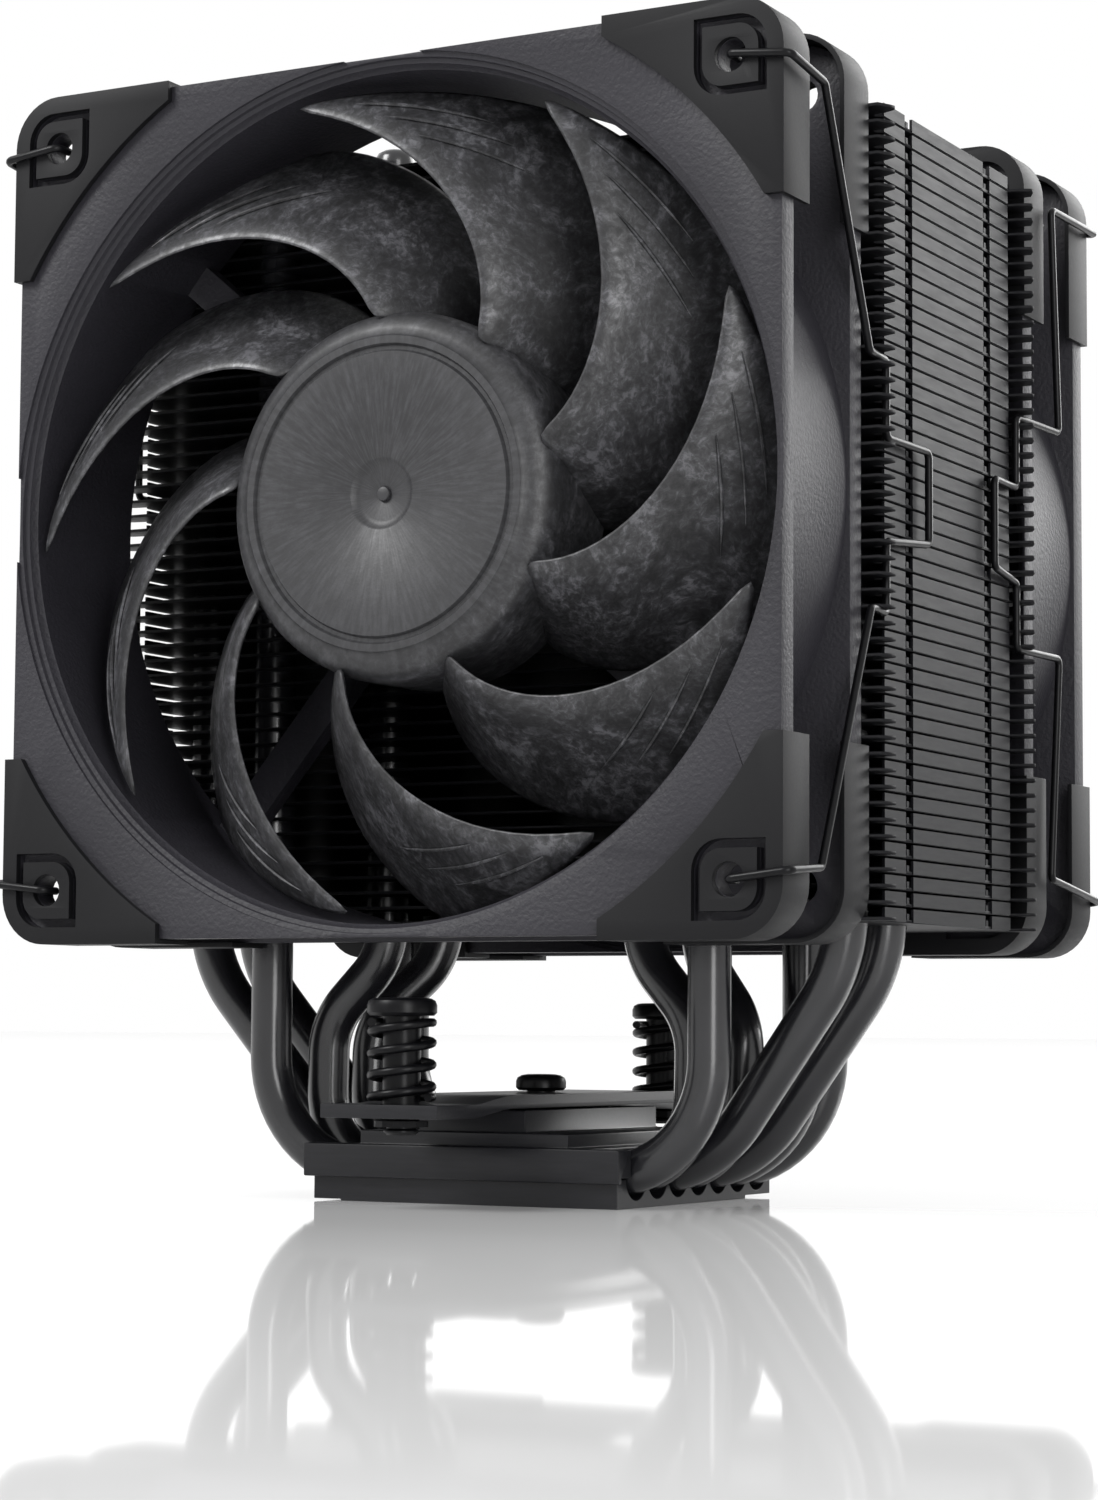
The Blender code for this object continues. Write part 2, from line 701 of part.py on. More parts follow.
def make_impeller(end, shift):
    front = FAN_FRONT_Y + shift
    face = front + HUB_FRONT
    centre = (0.0, face, FAN_CENTRE_Z)
    inner = HUB_RADIUS - HUB_WALL
    profile = [
        (0.0, -0.8),
        (1.2, -0.8),
        (4.5, 0.0),
        (HUB_FACE_RADIUS, 0.0),
        (HUB_RADIUS - 0.8, -1.0),
        (HUB_RADIUS, -3.0),
        (HUB_RADIUS, -HUB_DEPTH),
        (inner, -HUB_DEPTH),
        (inner, -3.6),
        (SHAFT_RADIUS + 2.0, -3.2),
        (SHAFT_RADIUS + 2.0, -6.0),
        (SHAFT_RADIUS + GAP, -6.0),
        (SHAFT_RADIUS + GAP, -2.4),
        (0.0, -2.4),
    ]
    hub = turned(f"impeller_{end}", profile, HUB_STEPS, centre, "impeller_plastic", "Y")
    for k in range(BLADE_COUNT):
        turn = math.radians(BLADE_PHASE + 360 * k / BLADE_COUNT)
        blade = make_blade(f"blade_{end}_{k}", turn, front)
        boolean(hub, blade, "UNION")


def make_motor(end, shift):
    """The steel cup and shaft that turn inside the hub, and what stands on the motor plate."""
    front = FAN_FRONT_Y + shift
    rear = front + FAN_DEPTH
    hub_face = front + HUB_FRONT
    plate_face = rear - MOTOR_PLATE_DEPTH - 1.4
    outer = HUB_RADIUS - HUB_WALL - GAP
    cup_back = plate_face - hub_face - 2.2
    cup = [
        (SHAFT_RADIUS + 2.0 + GAP, -4.0),
        (outer, -4.0),
        (outer, -cup_back),
        (outer - CUP_WALL, -cup_back),
        (outer - CUP_WALL, -4.0 - CUP_WALL),
        (SHAFT_RADIUS + 2.0 + GAP, -4.0 - CUP_WALL),
    ]
    turned(f"rotor_cup_{end}", cup, HUB_STEPS, (0.0, hub_face, FAN_CENTRE_Z), "stator_steel", "Y")
    shaft_end = plate_face - hub_face - 1.0
    shaft = [
        (0.0, -2.4 - GAP),
        (SHAFT_RADIUS, -2.4 - GAP),
        (SHAFT_RADIUS, -shaft_end),
        (0.0, -shaft_end),
    ]
    turned(f"shaft_{end}", shaft, SCREW_STEPS, (0.0, hub_face, FAN_CENTRE_Z), "shaft_steel", "Y")
    bearing = [
        (SHAFT_RADIUS + GAP, 12.0),
        (BEARING_RADIUS, 12.0),
        (BEARING_RADIUS, GAP),
        (SHAFT_RADIUS + GAP, GAP),
    ]
    turned(f"bearing_{end}", bearing, SCREW_STEPS, (0.0, plate_face, FAN_CENTRE_Z), "bearing_brass", "Y")
    board = [
        (BEARING_RADIUS + GAP, GAP + BOARD_THICK),
        (BOARD_RADIUS, GAP + BOARD_THICK),
        (BOARD_RADIUS, GAP),
        (BEARING_RADIUS + GAP, GAP),
    ]
    turned(f"motor_board_{end}", board, HUB_STEPS, (0.0, plate_face, FAN_CENTRE_Z), "board_green", "Y")
    make_stator(end, plate_face - GAP - BOARD_THICK - GAP)


def make_stator(end, back):
    """Six wound poles on a ring, as one closed outline."""
    outline = []
    step = 360 / STATOR_SLOTS
    for k in range(STATOR_SLOTS):
        middle = k * step
        outline += arc((0.0, 0.0), STATOR_RADIUS, middle - step * 0.42, middle + step * 0.42, 3)
        outline += arc((0.0, 0.0), STATOR_RADIUS * 0.45, middle + step * 0.44, middle + step * 0.56, 1)
    bore = arc((0.0, 0.0), (BEARING_RADIUS + GAP) / math.cos(math.pi / 12), 0, 330, 11)
    prism(
        f"stator_{end}",
        shifted(outline, 0.0, FAN_CENTRE_Z),
        back - 9.0,
        back,
        "stator_steel",
        "Y",
        [shifted(bore, 0.0, FAN_CENTRE_Z)],
    )


def clip_route(end):
    """The right-hand clip's corners, hook to hook, with y measured away from the fin stack's middle."""
    face = -FAN_FRONT_Y + PAD_FACE + CLIP_FACE_GAP
    hole = HOLE_SPACING / 2
    top = FAN_CENTRE_Z + hole
    low = FAN_CENTRE_Z - hole
    if end == "front":
        shoulder, knee, loop = (46.0, 145.6), (31.5, 113.3), 10.4
        drop, heel = (31.0, 79.4), (47.0, 44.6)
    else:
        shoulder, knee, loop = (37.0, 146.6), (39.8, 113.3), 14.2
        drop, heel = (39.6, 79.4), (35.8, 46.6)
    side, groove, depth = CLIP_SIDE_X, CLIP_GROOVE_X, CLIP_GROOVE_Y
    return [
        (hole, face - 3.0, top),
        (hole, face, top),
        (side, face, top - 1.0),
        (side, *shoulder),
        (side, *knee),
        (groove, depth, knee[1]),
        (groove, depth, 102.9),
        (side - 0.3, loop, 102.9),
        (side - 0.3, loop, 90.2),
        (groove, depth, 89.0),
        (groove, depth, drop[1]),
        (side, *drop),
        (side, *heel),
        (side, face, low + 1.0),
        (hole, face, low),
        (hole, face - 3.0, low),
    ]


def make_clip(end, side):
    sign_x = 1 if side == "right" else -1
    sign_y = -1 if end == "front" else 1
    corners = [(sign_x * x, sign_y * y, z) for x, y, z in clip_route(end)]
    path = rounded(corners, 1.0, 1)
    tube(f"clip_{end}_{side}", path, CLIP_WIRE, "clip_steel", 1)


def build():
    make_base_block()
    make_base_cover()
    for number in PIPE_ROUTES:
        make_heat_pipe(number)
    make_mounting_bar()
    make_bar_bolt()
    for end in ("front", "rear"):
        make_spring_screw(end)
        make_spring(end)
    make_fin_stack()
    for end, shift in (("front", 0.0), ("rear", REAR_FAN_SHIFT)):
        make_frame(end, shift)
        make_pads(end, shift)
        make_impeller(end, shift)
        make_motor(end, shift)
        for side in ("left", "right"):
            make_clip(end, side)


build()
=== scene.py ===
"""The looks of a twin-fan tower cooler: fans, pads, fins, pipes, base, bar, screws, springs and clips."""

import math

import bmesh
import bpy
from mathutils import Matrix, Vector


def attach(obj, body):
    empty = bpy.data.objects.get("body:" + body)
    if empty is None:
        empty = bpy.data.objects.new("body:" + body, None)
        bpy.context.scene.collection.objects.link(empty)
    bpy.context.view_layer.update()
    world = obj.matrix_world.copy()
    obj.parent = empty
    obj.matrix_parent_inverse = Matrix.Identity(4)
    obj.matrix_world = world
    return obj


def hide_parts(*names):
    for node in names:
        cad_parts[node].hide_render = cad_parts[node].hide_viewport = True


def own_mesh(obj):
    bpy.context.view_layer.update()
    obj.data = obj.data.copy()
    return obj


bl_info = {
    "name": "Tower cooler",
    "version": (1, 0, 0),
    "blender": (4, 5, 0),
    "location": "View3D > Sidebar > Cooler",
    "description": "Builds a twin-fan tower cooler around its packed frame",
    "category": "Object",
}

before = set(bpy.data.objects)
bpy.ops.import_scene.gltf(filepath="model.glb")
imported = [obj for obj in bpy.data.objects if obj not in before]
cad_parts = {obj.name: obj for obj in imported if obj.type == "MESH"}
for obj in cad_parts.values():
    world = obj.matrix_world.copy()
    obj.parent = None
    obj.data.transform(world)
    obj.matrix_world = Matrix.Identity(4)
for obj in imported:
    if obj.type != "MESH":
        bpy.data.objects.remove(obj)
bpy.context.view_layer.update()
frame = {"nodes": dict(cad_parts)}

MM = 0.001
ENDS = ("front", "rear")
SIDES = {"left": -1, "right": 1}
LEVELS = {"bottom": -1, "top": 1}

# Places and sizes that several pieces share, in millimetres
FAN_CENTRE_Z = 95.4
BASE_AXIS_Y = -5.6
PIPE_ROW_Z = 4.2
PIPE_PITCH = 6.4
PIPE_RADIUS = 3.0
BAR_CENTRE_Y = -8.0
SCREW_REACH = 39.0

# The camera's place in metres, its yaw, pitch and roll in degrees, and its focal length in millimetres
CAMERA_PLACE = (0.2401, -0.4492, 0.02393)
CAMERA_TURNS = (28.46, 4.6, 0.374)
FOCAL_LENGTH = 83.69

# Where each pipe turns on its right-hand side, and how widely, from the front pipe to the rear one
PIPE_TURNS = (
    (16.0, ((35.0, -25.0, PIPE_ROW_Z),)),
    (11.0, ((29.6, -18.4, PIPE_ROW_Z), (29.6, -17.8, 25.0), (20.8, -16.5, 34.6))),
    (20.0, ((28.5, -12.0, PIPE_ROW_Z), (51.4, -16.8, 33.5))),
    (11.0, ((30.0, -5.7, PIPE_ROW_Z), (30.4, -4.4, 25.0), (21.4, 0.5, 34.6))),
    (20.0, ((28.5, 1.0, PIPE_ROW_Z), (51.6, -3.7, 33.5))),
    (15.0, ((34.3, 7.2, PIPE_ROW_Z),)),
    (16.0, ((35.0, 13.9, PIPE_ROW_Z),)),
)


def millimetres(name, default, description, low=0.0):
    """A length property in millimetres."""
    return bpy.props.FloatProperty(name=name, default=default, min=low, description=description)


def degrees(name, default, description):
    """An angle property in degrees."""
    return bpy.props.FloatProperty(name=name, default=default, description=description)


def shade(name, code, description):
    """A colour property whose default is a linear colour made from an sRGB code."""
    return bpy.props.FloatVectorProperty(
        name=name, default=linear(code), size=3, min=0.0, max=1.0, subtype="COLOR", description=description
    )


def linear(code):
    """A linear colour from an sRGB hex code."""
    parts = [int(code[i : i + 2], 16) / 255 for i in (1, 3, 5)]
    return tuple(((c + 0.055) / 1.055) ** 2.4 if c > 0.04045 else c / 12.92 for c in parts)


class CoolerFanSizes(bpy.types.PropertyGroup):
    """Sizes of the two fans, in millimetres and degrees."""

    side: millimetres("Side", 120.0, "Width of the square frame over its pads")
    depth: millimetres("Depth", 25.0, "Depth of the frame without its pads")
    centre_z: millimetres("Centre height", FAN_CENTRE_Z, "Height of the fans' middle above the base")
    front_y: millimetres("Front face", -55.0, "Where the front fan's face stands", low=-200.0)
    rear_shift: millimetres("Fan spacing", 85.0, "Distance from the front fan to the rear one")
    hole_spacing: millimetres("Hole spacing", 105.0, "Distance between screw holes")
    duct_radius: millimetres("Duct radius", 57.6, "Radius of the round duct")
    hub_radius: millimetres("Hub radius", 25.2, "Radius of the impeller's hub")
    blade_count: bpy.props.IntProperty(name="Blades", default=9, min=3, description="Blades on each impeller")
    blade_phase: degrees("Blade phase", 15.0, "Turn of the first blade, in degrees")
    blade_sweep: degrees("Blade sweep", 52.0, "How far the tip leads the root, in degrees")


class CoolerFinSizes(bpy.types.PropertyGroup):
    """Sizes of the fin stack, in millimetres."""

    count: bpy.props.IntProperty(name="Fins", default=51, min=2, description="Number of fins")
    bottom: millimetres("Bottom", 38.6, "Height of the lowest fin")
    top: millimetres("Top", 147.2, "Height of the highest fin's upper face")
    thick: millimetres("Thickness", 0.42, "Thickness of the sheet")
    side_x: millimetres("Flange face", 59.7, "Half the width over the folded flanges")


class CoolerColours(bpy.types.PropertyGroup):
    """Colours of the cooler's finishes."""

    frame: shade("Frame plastic", "#252429", "Moulded fan frames")
    pad: shade("Pad rubber", "#0f0f11", "Corner pads")
    impeller: shade("Impeller plastic", "#2d2d2f", "Impellers")
    fin: shade("Fin coating", "#101013", "Coated fins")
    pipe: shade("Pipe coating", "#1c1c1f", "Coated heat pipes")
    base: shade("Base coating", "#1a1a1d", "Coated base")
    steel: shade("Black steel", "#0c0c0e", "Bar, screws, springs and clips")


def sizes():
    """The fans' sizes and the fins' sizes, as set in the scene."""
    return bpy.context.scene.cooler_fans, bpy.context.scene.cooler_fins


# Materials


def add_node(tree, kind, links=None, **settings):
    """Adds a node, sets its properties, and links or fills its inputs."""
    node = tree.nodes.new(kind)
    for key, value in settings.items():
        setattr(node, key, value)
    for socket, source in (links or {}).items():
        if isinstance(source, bpy.types.NodeSocket):
            tree.links.new(source, node.inputs[socket])
        else:
            node.inputs[socket].default_value = source
    return node


def start_material(name, roughness, metallic=0.0, specular=0.5):
    """A new material with its tree, its shader and the place on the object, in metres."""
    material = bpy.data.materials.new(name)
    material.use_nodes = True
    tree = material.node_tree
    shader = tree.nodes["Principled BSDF"]
    shader.inputs["Roughness"].default_value = roughness
    shader.inputs["Metallic"].default_value = metallic
    shader.inputs["Specular IOR Level"].default_value = specular
    place = add_node(tree, "ShaderNodeTexCoord").outputs["Object"]
    return material, tree, shader, place


def ramp(tree, factor, stops):
    """A colour ramp through (position, linear colour) stops."""
    node = add_node(tree, "ShaderNodeValToRGB", {"Fac": factor})
    elements = node.color_ramp.elements
    while len(elements) < len(stops):
        elements.new(0.5)
    for element, (position, tone) in zip(elements, stops):
        element.position = position
        element.color = (*tone, 1.0)
    return node.outputs["Color"]


def scaled(tone, factor):
    """A colour made darker or lighter."""
    return tuple(min(1.0, c * factor) for c in tone)


def tint(tree, shader, pattern, tone, low, high):
    """Lets a pattern take the surface's colour from low to high times its tone."""
    colour = ramp(tree, pattern, [(0.3, scaled(tone, low)), (0.7, scaled(tone, high))])
    tree.links.new(colour, shader.inputs["Base Color"])


def dull(tree, shader, pattern, low, high):
    """Lets a pattern take the surface's roughness from low to high."""
    rough = add_node(tree, "ShaderNodeMapRange", {"Value": pattern, "To Min": low, "To Max": high})
    tree.links.new(rough.outputs["Result"], shader.inputs["Roughness"])


def dent(tree, shader, pattern, strength, depth_mm):
    """Lets a pattern raise and lower the surface, by depth_mm at full strength."""
    inputs = {"Height": pattern, "Strength": strength, "Distance": depth_mm * MM}
    bump = add_node(tree, "ShaderNodeBump", inputs)
    tree.links.new(bump.outputs["Normal"], shader.inputs["Normal"])


def grain(tree, shader, place, size_mm, strength, depth_mm):
    """An even moulded grain with bumps of the given size."""
    noise = add_node(tree, "ShaderNodeTexNoise", {"Vector": place, "Scale": 1000 / size_mm, "Detail": 3.0})
    dent(tree, shader, noise.outputs["Fac"], strength, depth_mm)
    return noise.outputs["Fac"]


def make_frame_plastic(colours):
    """PBT moulded against a spark-eroded tool: a fine even grain with a low satin sheen."""
    material, tree, shader, place = start_material("pbt_moulded_satin", 0.5, specular=0.3)
    # The real grain is about 0.1 mm across, and is drawn coarser so that it shows
    fine = grain(tree, shader, place, 0.6, 0.7, 0.16)
    cloud = add_node(tree, "ShaderNodeTexNoise", {"Vector": place, "Scale": 1000 / 22, "Detail": 2.0})
    tint(tree, shader, cloud.outputs["Fac"], colours.frame, 0.88, 1.12)
    dull(tree, shader, fine, 0.46, 0.6)
    return material


def make_pad_rubber(colours):
    """Silicone rubber from a lightly blasted mould: deep matt black with soft broad highlights."""
    material, tree, shader, place = start_material("silicone_rubber_moulded", 0.55, specular=0.2)
    # The real grain is under 0.1 mm across, and is drawn coarser so that it shows
    fine = grain(tree, shader, place, 0.35, 0.18, 0.04)
    tint(tree, shader, fine, colours.pad, 0.85, 1.15)
    dull(tree, shader, fine, 0.5, 0.62)
    return material


def make_impeller_plastic(colours):
    """Glass-filled polymer: flow marks swirl over the blades and run out from the hub's gate."""
    material, tree, shader, place = start_material("glass_filled_polymer_moulded", 0.42, specular=0.4)
    tone = tuple(colours.impeller)
    warp = add_node(tree, "ShaderNodeTexNoise", {"Vector": place, "Scale": 1000 / 34, "Detail": 2.0})
    bent = add_node(
        tree,
        "ShaderNodeVectorMath",
        {0: warp.outputs["Color"], 1: (0.016, 0.016, 0.016), 2: place},
        operation="MULTIPLY_ADD",
    )
    swirl = add_node(
        tree,
        "ShaderNodeTexNoise",
        {"Vector": bent.outputs[0], "Scale": 1000 / 7, "Detail": 5.0, "Roughness": 0.6, "Distortion": 1.0},
    )
    flake = add_node(
        tree,
        "ShaderNodeTexNoise",
        {"Vector": bent.outputs[0], "Scale": 1000 / 1.1, "Detail": 4.0, "Roughness": 0.7, "Distortion": 0.5},
    )
    mottle = add_node(
        tree,
        "ShaderNodeMix",
        {"Factor": 0.5, 2: swirl.outputs["Fac"], 3: flake.outputs["Fac"]},
        data_type="FLOAT",
    )
    centred = add_node(
        tree,
        "ShaderNodeMapping",
        {"Vector": place, "Location": (0.0, 0.0, -FAN_CENTRE_Z * MM), "Scale": (1.0, 0.0, 1.0)},
    )
    # On the hub the marks are streaks, drawn in polar coordinates: 26 to a radian, 3.8 mm long
    streaks_per_radian, streaks_per_metre = 26.0, 260.0
    streak_end, swirl_start = 20 * MM, 27 * MM
    parts = add_node(tree, "ShaderNodeSeparateXYZ", {"Vector": centred.outputs[0]})
    sides = {0: parts.outputs["X"], 1: parts.outputs["Z"]}
    angle = add_node(tree, "ShaderNodeMath", sides, operation="ARCTAN2")
    radius = add_node(tree, "ShaderNodeVectorMath", {0: centred.outputs[0]}, operation="LENGTH")
    ray = add_node(tree, "ShaderNodeMath", {0: angle.outputs[0], 1: streaks_per_radian}, operation="MULTIPLY")
    run = add_node(
        tree, "ShaderNodeMath", {0: radius.outputs["Value"], 1: streaks_per_metre}, operation="MULTIPLY"
    )
    polar = add_node(tree, "ShaderNodeCombineXYZ", {"X": ray.outputs[0], "Y": run.outputs[0]})
    streak = add_node(
        tree,
        "ShaderNodeTexNoise",
        {"Vector": polar.outputs[0], "Scale": 1.0, "Detail": 4.0, "Roughness": 0.6},
    )
    calm = add_node(
        tree, "ShaderNodeMapRange", {"Value": streak.outputs["Fac"], "To Min": 0.34, "To Max": 0.62}
    )
    inside = add_node(
        tree,
        "ShaderNodeMapRange",
        {
            "Value": radius.outputs["Value"],
            "From Min": streak_end,
            "From Max": swirl_start,
            "To Min": 0.85,
            "To Max": 0.0,
        },
    )
    mixed = add_node(
        tree,
        "ShaderNodeMix",
        {"Factor": inside.outputs[0], 2: mottle.outputs[0], 3: calm.outputs["Result"]},
        data_type="FLOAT",
    )
    shades = ((0.38, 0.4), (0.47, 0.85), (0.54, 1.7), (0.62, 4.0))
    colour = ramp(tree, mixed.outputs[0], [(at, scaled(tone, factor)) for at, factor in shades])
    tree.links.new(colour, shader.inputs["Base Color"])
    grain(tree, shader, place, 0.4, 0.3, 0.05)
    rough = add_node(
        tree,
        "ShaderNodeMapRange",
        {"Value": mixed.outputs[0], "From Min": 0.38, "From Max": 0.62, "To Min": 0.55, "To Max": 0.28},
    )
    tree.links.new(rough.outputs["Result"], shader.inputs["Roughness"])
    return material


def make_fin_coating(colours):
    """Rolled aluminium sheet, dip-coated black: satin, with faint rolling lines along the sheet."""
    material, tree, shader, place = start_material("aluminium_sheet_dip_coated", 0.5, specular=0.15)
    rolled = add_node(tree, "ShaderNodeMapping", {"Vector": place, "Scale": (1.0, 0.12, 1.0)})
    lines = add_node(
        tree, "ShaderNodeTexNoise", {"Vector": rolled.outputs[0], "Scale": 1000 / 0.6, "Detail": 3.0}
    )
    tint(tree, shader, lines.outputs["Fac"], colours.fin, 0.86, 1.12)
    dull(tree, shader, lines.outputs["Fac"], 0.42, 0.58)
    return material


def make_pipe_coating(colours):
    """Copper pipe with a black lacquer: glossy, with a soft orange peel."""
    material, tree, shader, place = start_material("copper_pipe_lacquered", 0.26)
    shader.inputs["Coat Weight"].default_value = 0.3
    shader.inputs["Coat Roughness"].default_value = 0.12
    cloud = add_node(tree, "ShaderNodeTexNoise", {"Vector": place, "Scale": 1000 / 3.0, "Detail": 4.0})
    tint(tree, shader, cloud.outputs["Fac"], colours.pipe, 0.8, 1.3)
    dent(tree, shader, cloud.outputs["Fac"], 0.2, 0.1)
    return material


def make_base_coating(colours):
    """Milled metal, plated black: satin, with fine straight cutter lines under the plating."""
    material, tree, shader, place = start_material("milled_metal_plated_black", 0.36, specular=0.3)
    milled = add_node(tree, "ShaderNodeMapping", {"Vector": place, "Scale": (0.1, 1.0, 1.0)})
    lines = add_node(
        tree, "ShaderNodeTexNoise", {"Vector": milled.outputs[0], "Scale": 1000 / 0.5, "Detail": 2.0}
    )
    tint(tree, shader, lines.outputs["Fac"], colours.base, 0.8, 1.25)
    dent(tree, shader, lines.outputs["Fac"], 0.15, 0.04)
    return material


def make_black_steel(colours):
    """Spring steel with a black electroplate: dark and glossy, with a slight unevenness."""
    material, tree, shader, place = start_material("steel_plated_black", 0.3, specular=0.15)
    cloud = add_node(tree, "ShaderNodeTexNoise", {"Vector": place, "Scale": 1000 / 1.2, "Detail": 3.0})
    tint(tree, shader, cloud.outputs["Fac"], colours.steel, 0.75, 1.35)
    dull(tree, shader, cloud.outputs["Fac"], 0.24, 0.4)
    return material


def make_bare_metal(name, code, roughness, size_mm):
    """Ground steel, turned brass or pressed laminations: bright metal with fine tool marks."""
    material, tree, shader, place = start_material(name, roughness, 1.0)
    marks = add_node(tree, "ShaderNodeTexNoise", {"Vector": place, "Scale": 1000 / size_mm, "Detail": 3.0})
    tint(tree, shader, marks.outputs["Fac"], linear(code), 0.85, 1.1)
    dull(tree, shader, marks.outputs["Fac"], roughness - 0.06, roughness + 0.1)
    return material


def make_board_lacquer():
    """Fibreglass board under green solder resist: glossy, with a faint weave."""
    material, tree, shader, place = start_material("fibreglass_board_lacquered", 0.3)
    weave = add_node(
        tree,
        "ShaderNodeTexWave",
        {"Vector": place, "Scale": 1000 / 2.4, "Distortion": 0.5},
        bands_direction="DIAGONAL",
    )
    tone = ramp(tree, weave.outputs["Fac"], [(0.2, linear("#1f3a28")), (0.8, linear("#2a4a35"))])
    tree.links.new(tone, shader.inputs["Base Color"])
    return material


def finish_of(name):
    """The named material, made once from the scene's colours."""
    colours = bpy.context.scene.cooler_colours
    makers = {
        "frame_plastic": lambda: make_frame_plastic(colours),
        "pad_rubber": lambda: make_pad_rubber(colours),
        "impeller_plastic": lambda: make_impeller_plastic(colours),
        "fin_coating": lambda: make_fin_coating(colours),
        "pipe_coating": lambda: make_pipe_coating(colours),
        "base_coating": lambda: make_base_coating(colours),
        "bar_coating": lambda: make_base_coating(colours),
        "screw_steel": lambda: make_black_steel(colours),
        "clip_steel": lambda: make_black_steel(colours),
        "shaft_steel": lambda: make_bare_metal("steel_ground", "#b4b4b6", 0.25, 0.8),
        "bearing_brass": lambda: make_bare_metal("brass_turned", "#b08a4a", 0.32, 0.6),
        "stator_steel": lambda: make_bare_metal("steel_laminated", "#6b6460", 0.42, 1.0),
        "board_green": make_board_lacquer,
    }
    if name not in FINISHES:
        FINISHES[name] = makers[name]()
    return FINISHES[name]


FINISHES = {}


# Modelling


def choose(*objects):
    """Leaves edit mode and selects only these objects, the first of them active."""
    if bpy.context.mode != "OBJECT":
        bpy.ops.object.mode_set(mode="OBJECT")
    bpy.ops.object.select_all(action="DESELECT")
    for item in objects:
        item.select_set(True)
    if objects:
        bpy.context.view_layer.objects.active = objects[0]


def settle(item):
    """Moves the object's place, turn and size into its mesh."""
    choose(item)
    bpy.ops.object.transform_apply(location=True, rotation=True, scale=True)


def apply_modifier(item, kind, **settings):
    choose(item)
    modifier = item.modifiers.new(kind.lower(), kind)
    for key, value in settings.items():
        setattr(modifier, key, value)
    bpy.ops.object.modifier_apply(modifier=modifier.name)


def cut(item, *tools, operation="DIFFERENCE"):
    """Cuts tools from an item, or joins them to it, and removes them."""
    for tool in tools:
        apply_modifier(item, "BOOLEAN", object=tool, operation=operation, solver="MANIFOLD")
        bpy.data.objects.remove(tool, do_unlink=True)
        bpy.ops.object.mode_set(mode="EDIT")
        bpy.ops.mesh.select_all(action="SELECT")
        bpy.ops.mesh.remove_doubles(threshold=0.002 * MM)
        bpy.ops.mesh.dissolve_degenerate(threshold=0.002 * MM)
        bpy.ops.object.mode_set(mode="OBJECT")


def bevel_edges(item, width, segments=2, angle=35.0):
    apply_modifier(
        item,
        "BEVEL",
        width=width * MM,
        segments=segments,
        limit_method="ANGLE",
        angle_limit=math.radians(angle),
        use_clamp_overlap=True,
    )


def smooth(item, angle=35.0):
    choose(item)
    bpy.ops.object.shade_smooth_by_angle(angle=math.radians(angle))


def face_out(item):
    """Merges doubles and turns every face outwards."""
    choose(item)
    bpy.ops.object.mode_set(mode="EDIT")
    bpy.ops.mesh.select_all(action="SELECT")
    bpy.ops.mesh.remove_doubles(threshold=0.001 * MM)
    bpy.ops.mesh.normals_make_consistent(inside=False)
    bpy.ops.object.mode_set(mode="OBJECT")


def block(name, low, high):
    """A box between two corners in millimetres."""
    choose()
    middle = [(a + b) / 2 * MM for a, b in zip(low, high)]
    bpy.ops.mesh.primitive_cube_add(size=1.0, location=middle)
    item = bpy.context.object
    item.name = name
    item.scale = [(b - a) * MM for a, b in zip(low, high)]
    settle(item)
    return item


def round_bar(name, centre, radius, depth, axis="Z", sides=32):
    """A cylinder about its centre, in millimetres."""
    choose()
    turn = {"X": (0.0, math.pi / 2, 0.0), "Y": (math.pi / 2, 0.0, 0.0), "Z": (0.0, 0.0, 0.0)}[axis]
    bpy.ops.mesh.primitive_cylinder_add(
        vertices=sides,
        radius=radius * MM,
        depth=depth * MM,
        location=[c * MM for c in centre],
        rotation=turn,
    )
    item = bpy.context.object
    item.name = name
    settle(item)
    return item


def spun(name, rings, sides, centre, axis="Z"):
    """A turned shape: a disc drawn out from ring to ring, each a (radius, height) in millimetres."""
    choose()
    radius, height = rings[0]
    bpy.ops.mesh.primitive_circle_add(
        vertices=sides, radius=radius * MM, fill_type="NGON", location=(0.0, 0.0, height * MM)
    )
    item = bpy.context.object
    item.name = name
    settle(item)
    bpy.ops.object.mode_set(mode="EDIT")
    bpy.ops.mesh.select_all(action="SELECT")
    for next_radius, next_height in rings[1:]:
        shift = (0.0, 0.0, (next_height - height) * MM)
        bpy.ops.mesh.extrude_region_move(TRANSFORM_OT_translate={"value": shift})
        grow = next_radius / radius
        bpy.ops.transform.resize(value=(grow, grow, 1.0), center_override=(0.0, 0.0, next_height * MM))
        radius, height = next_radius, next_height
    bpy.ops.mesh.select_all(action="SELECT")
    bpy.ops.mesh.normals_make_consistent(inside=False)
    bpy.ops.object.mode_set(mode="OBJECT")
    if axis == "Y":
        item.rotation_euler = (math.pi / 2, 0.0, 0.0)
    item.location = [c * MM for c in centre]
    settle(item)
    return item


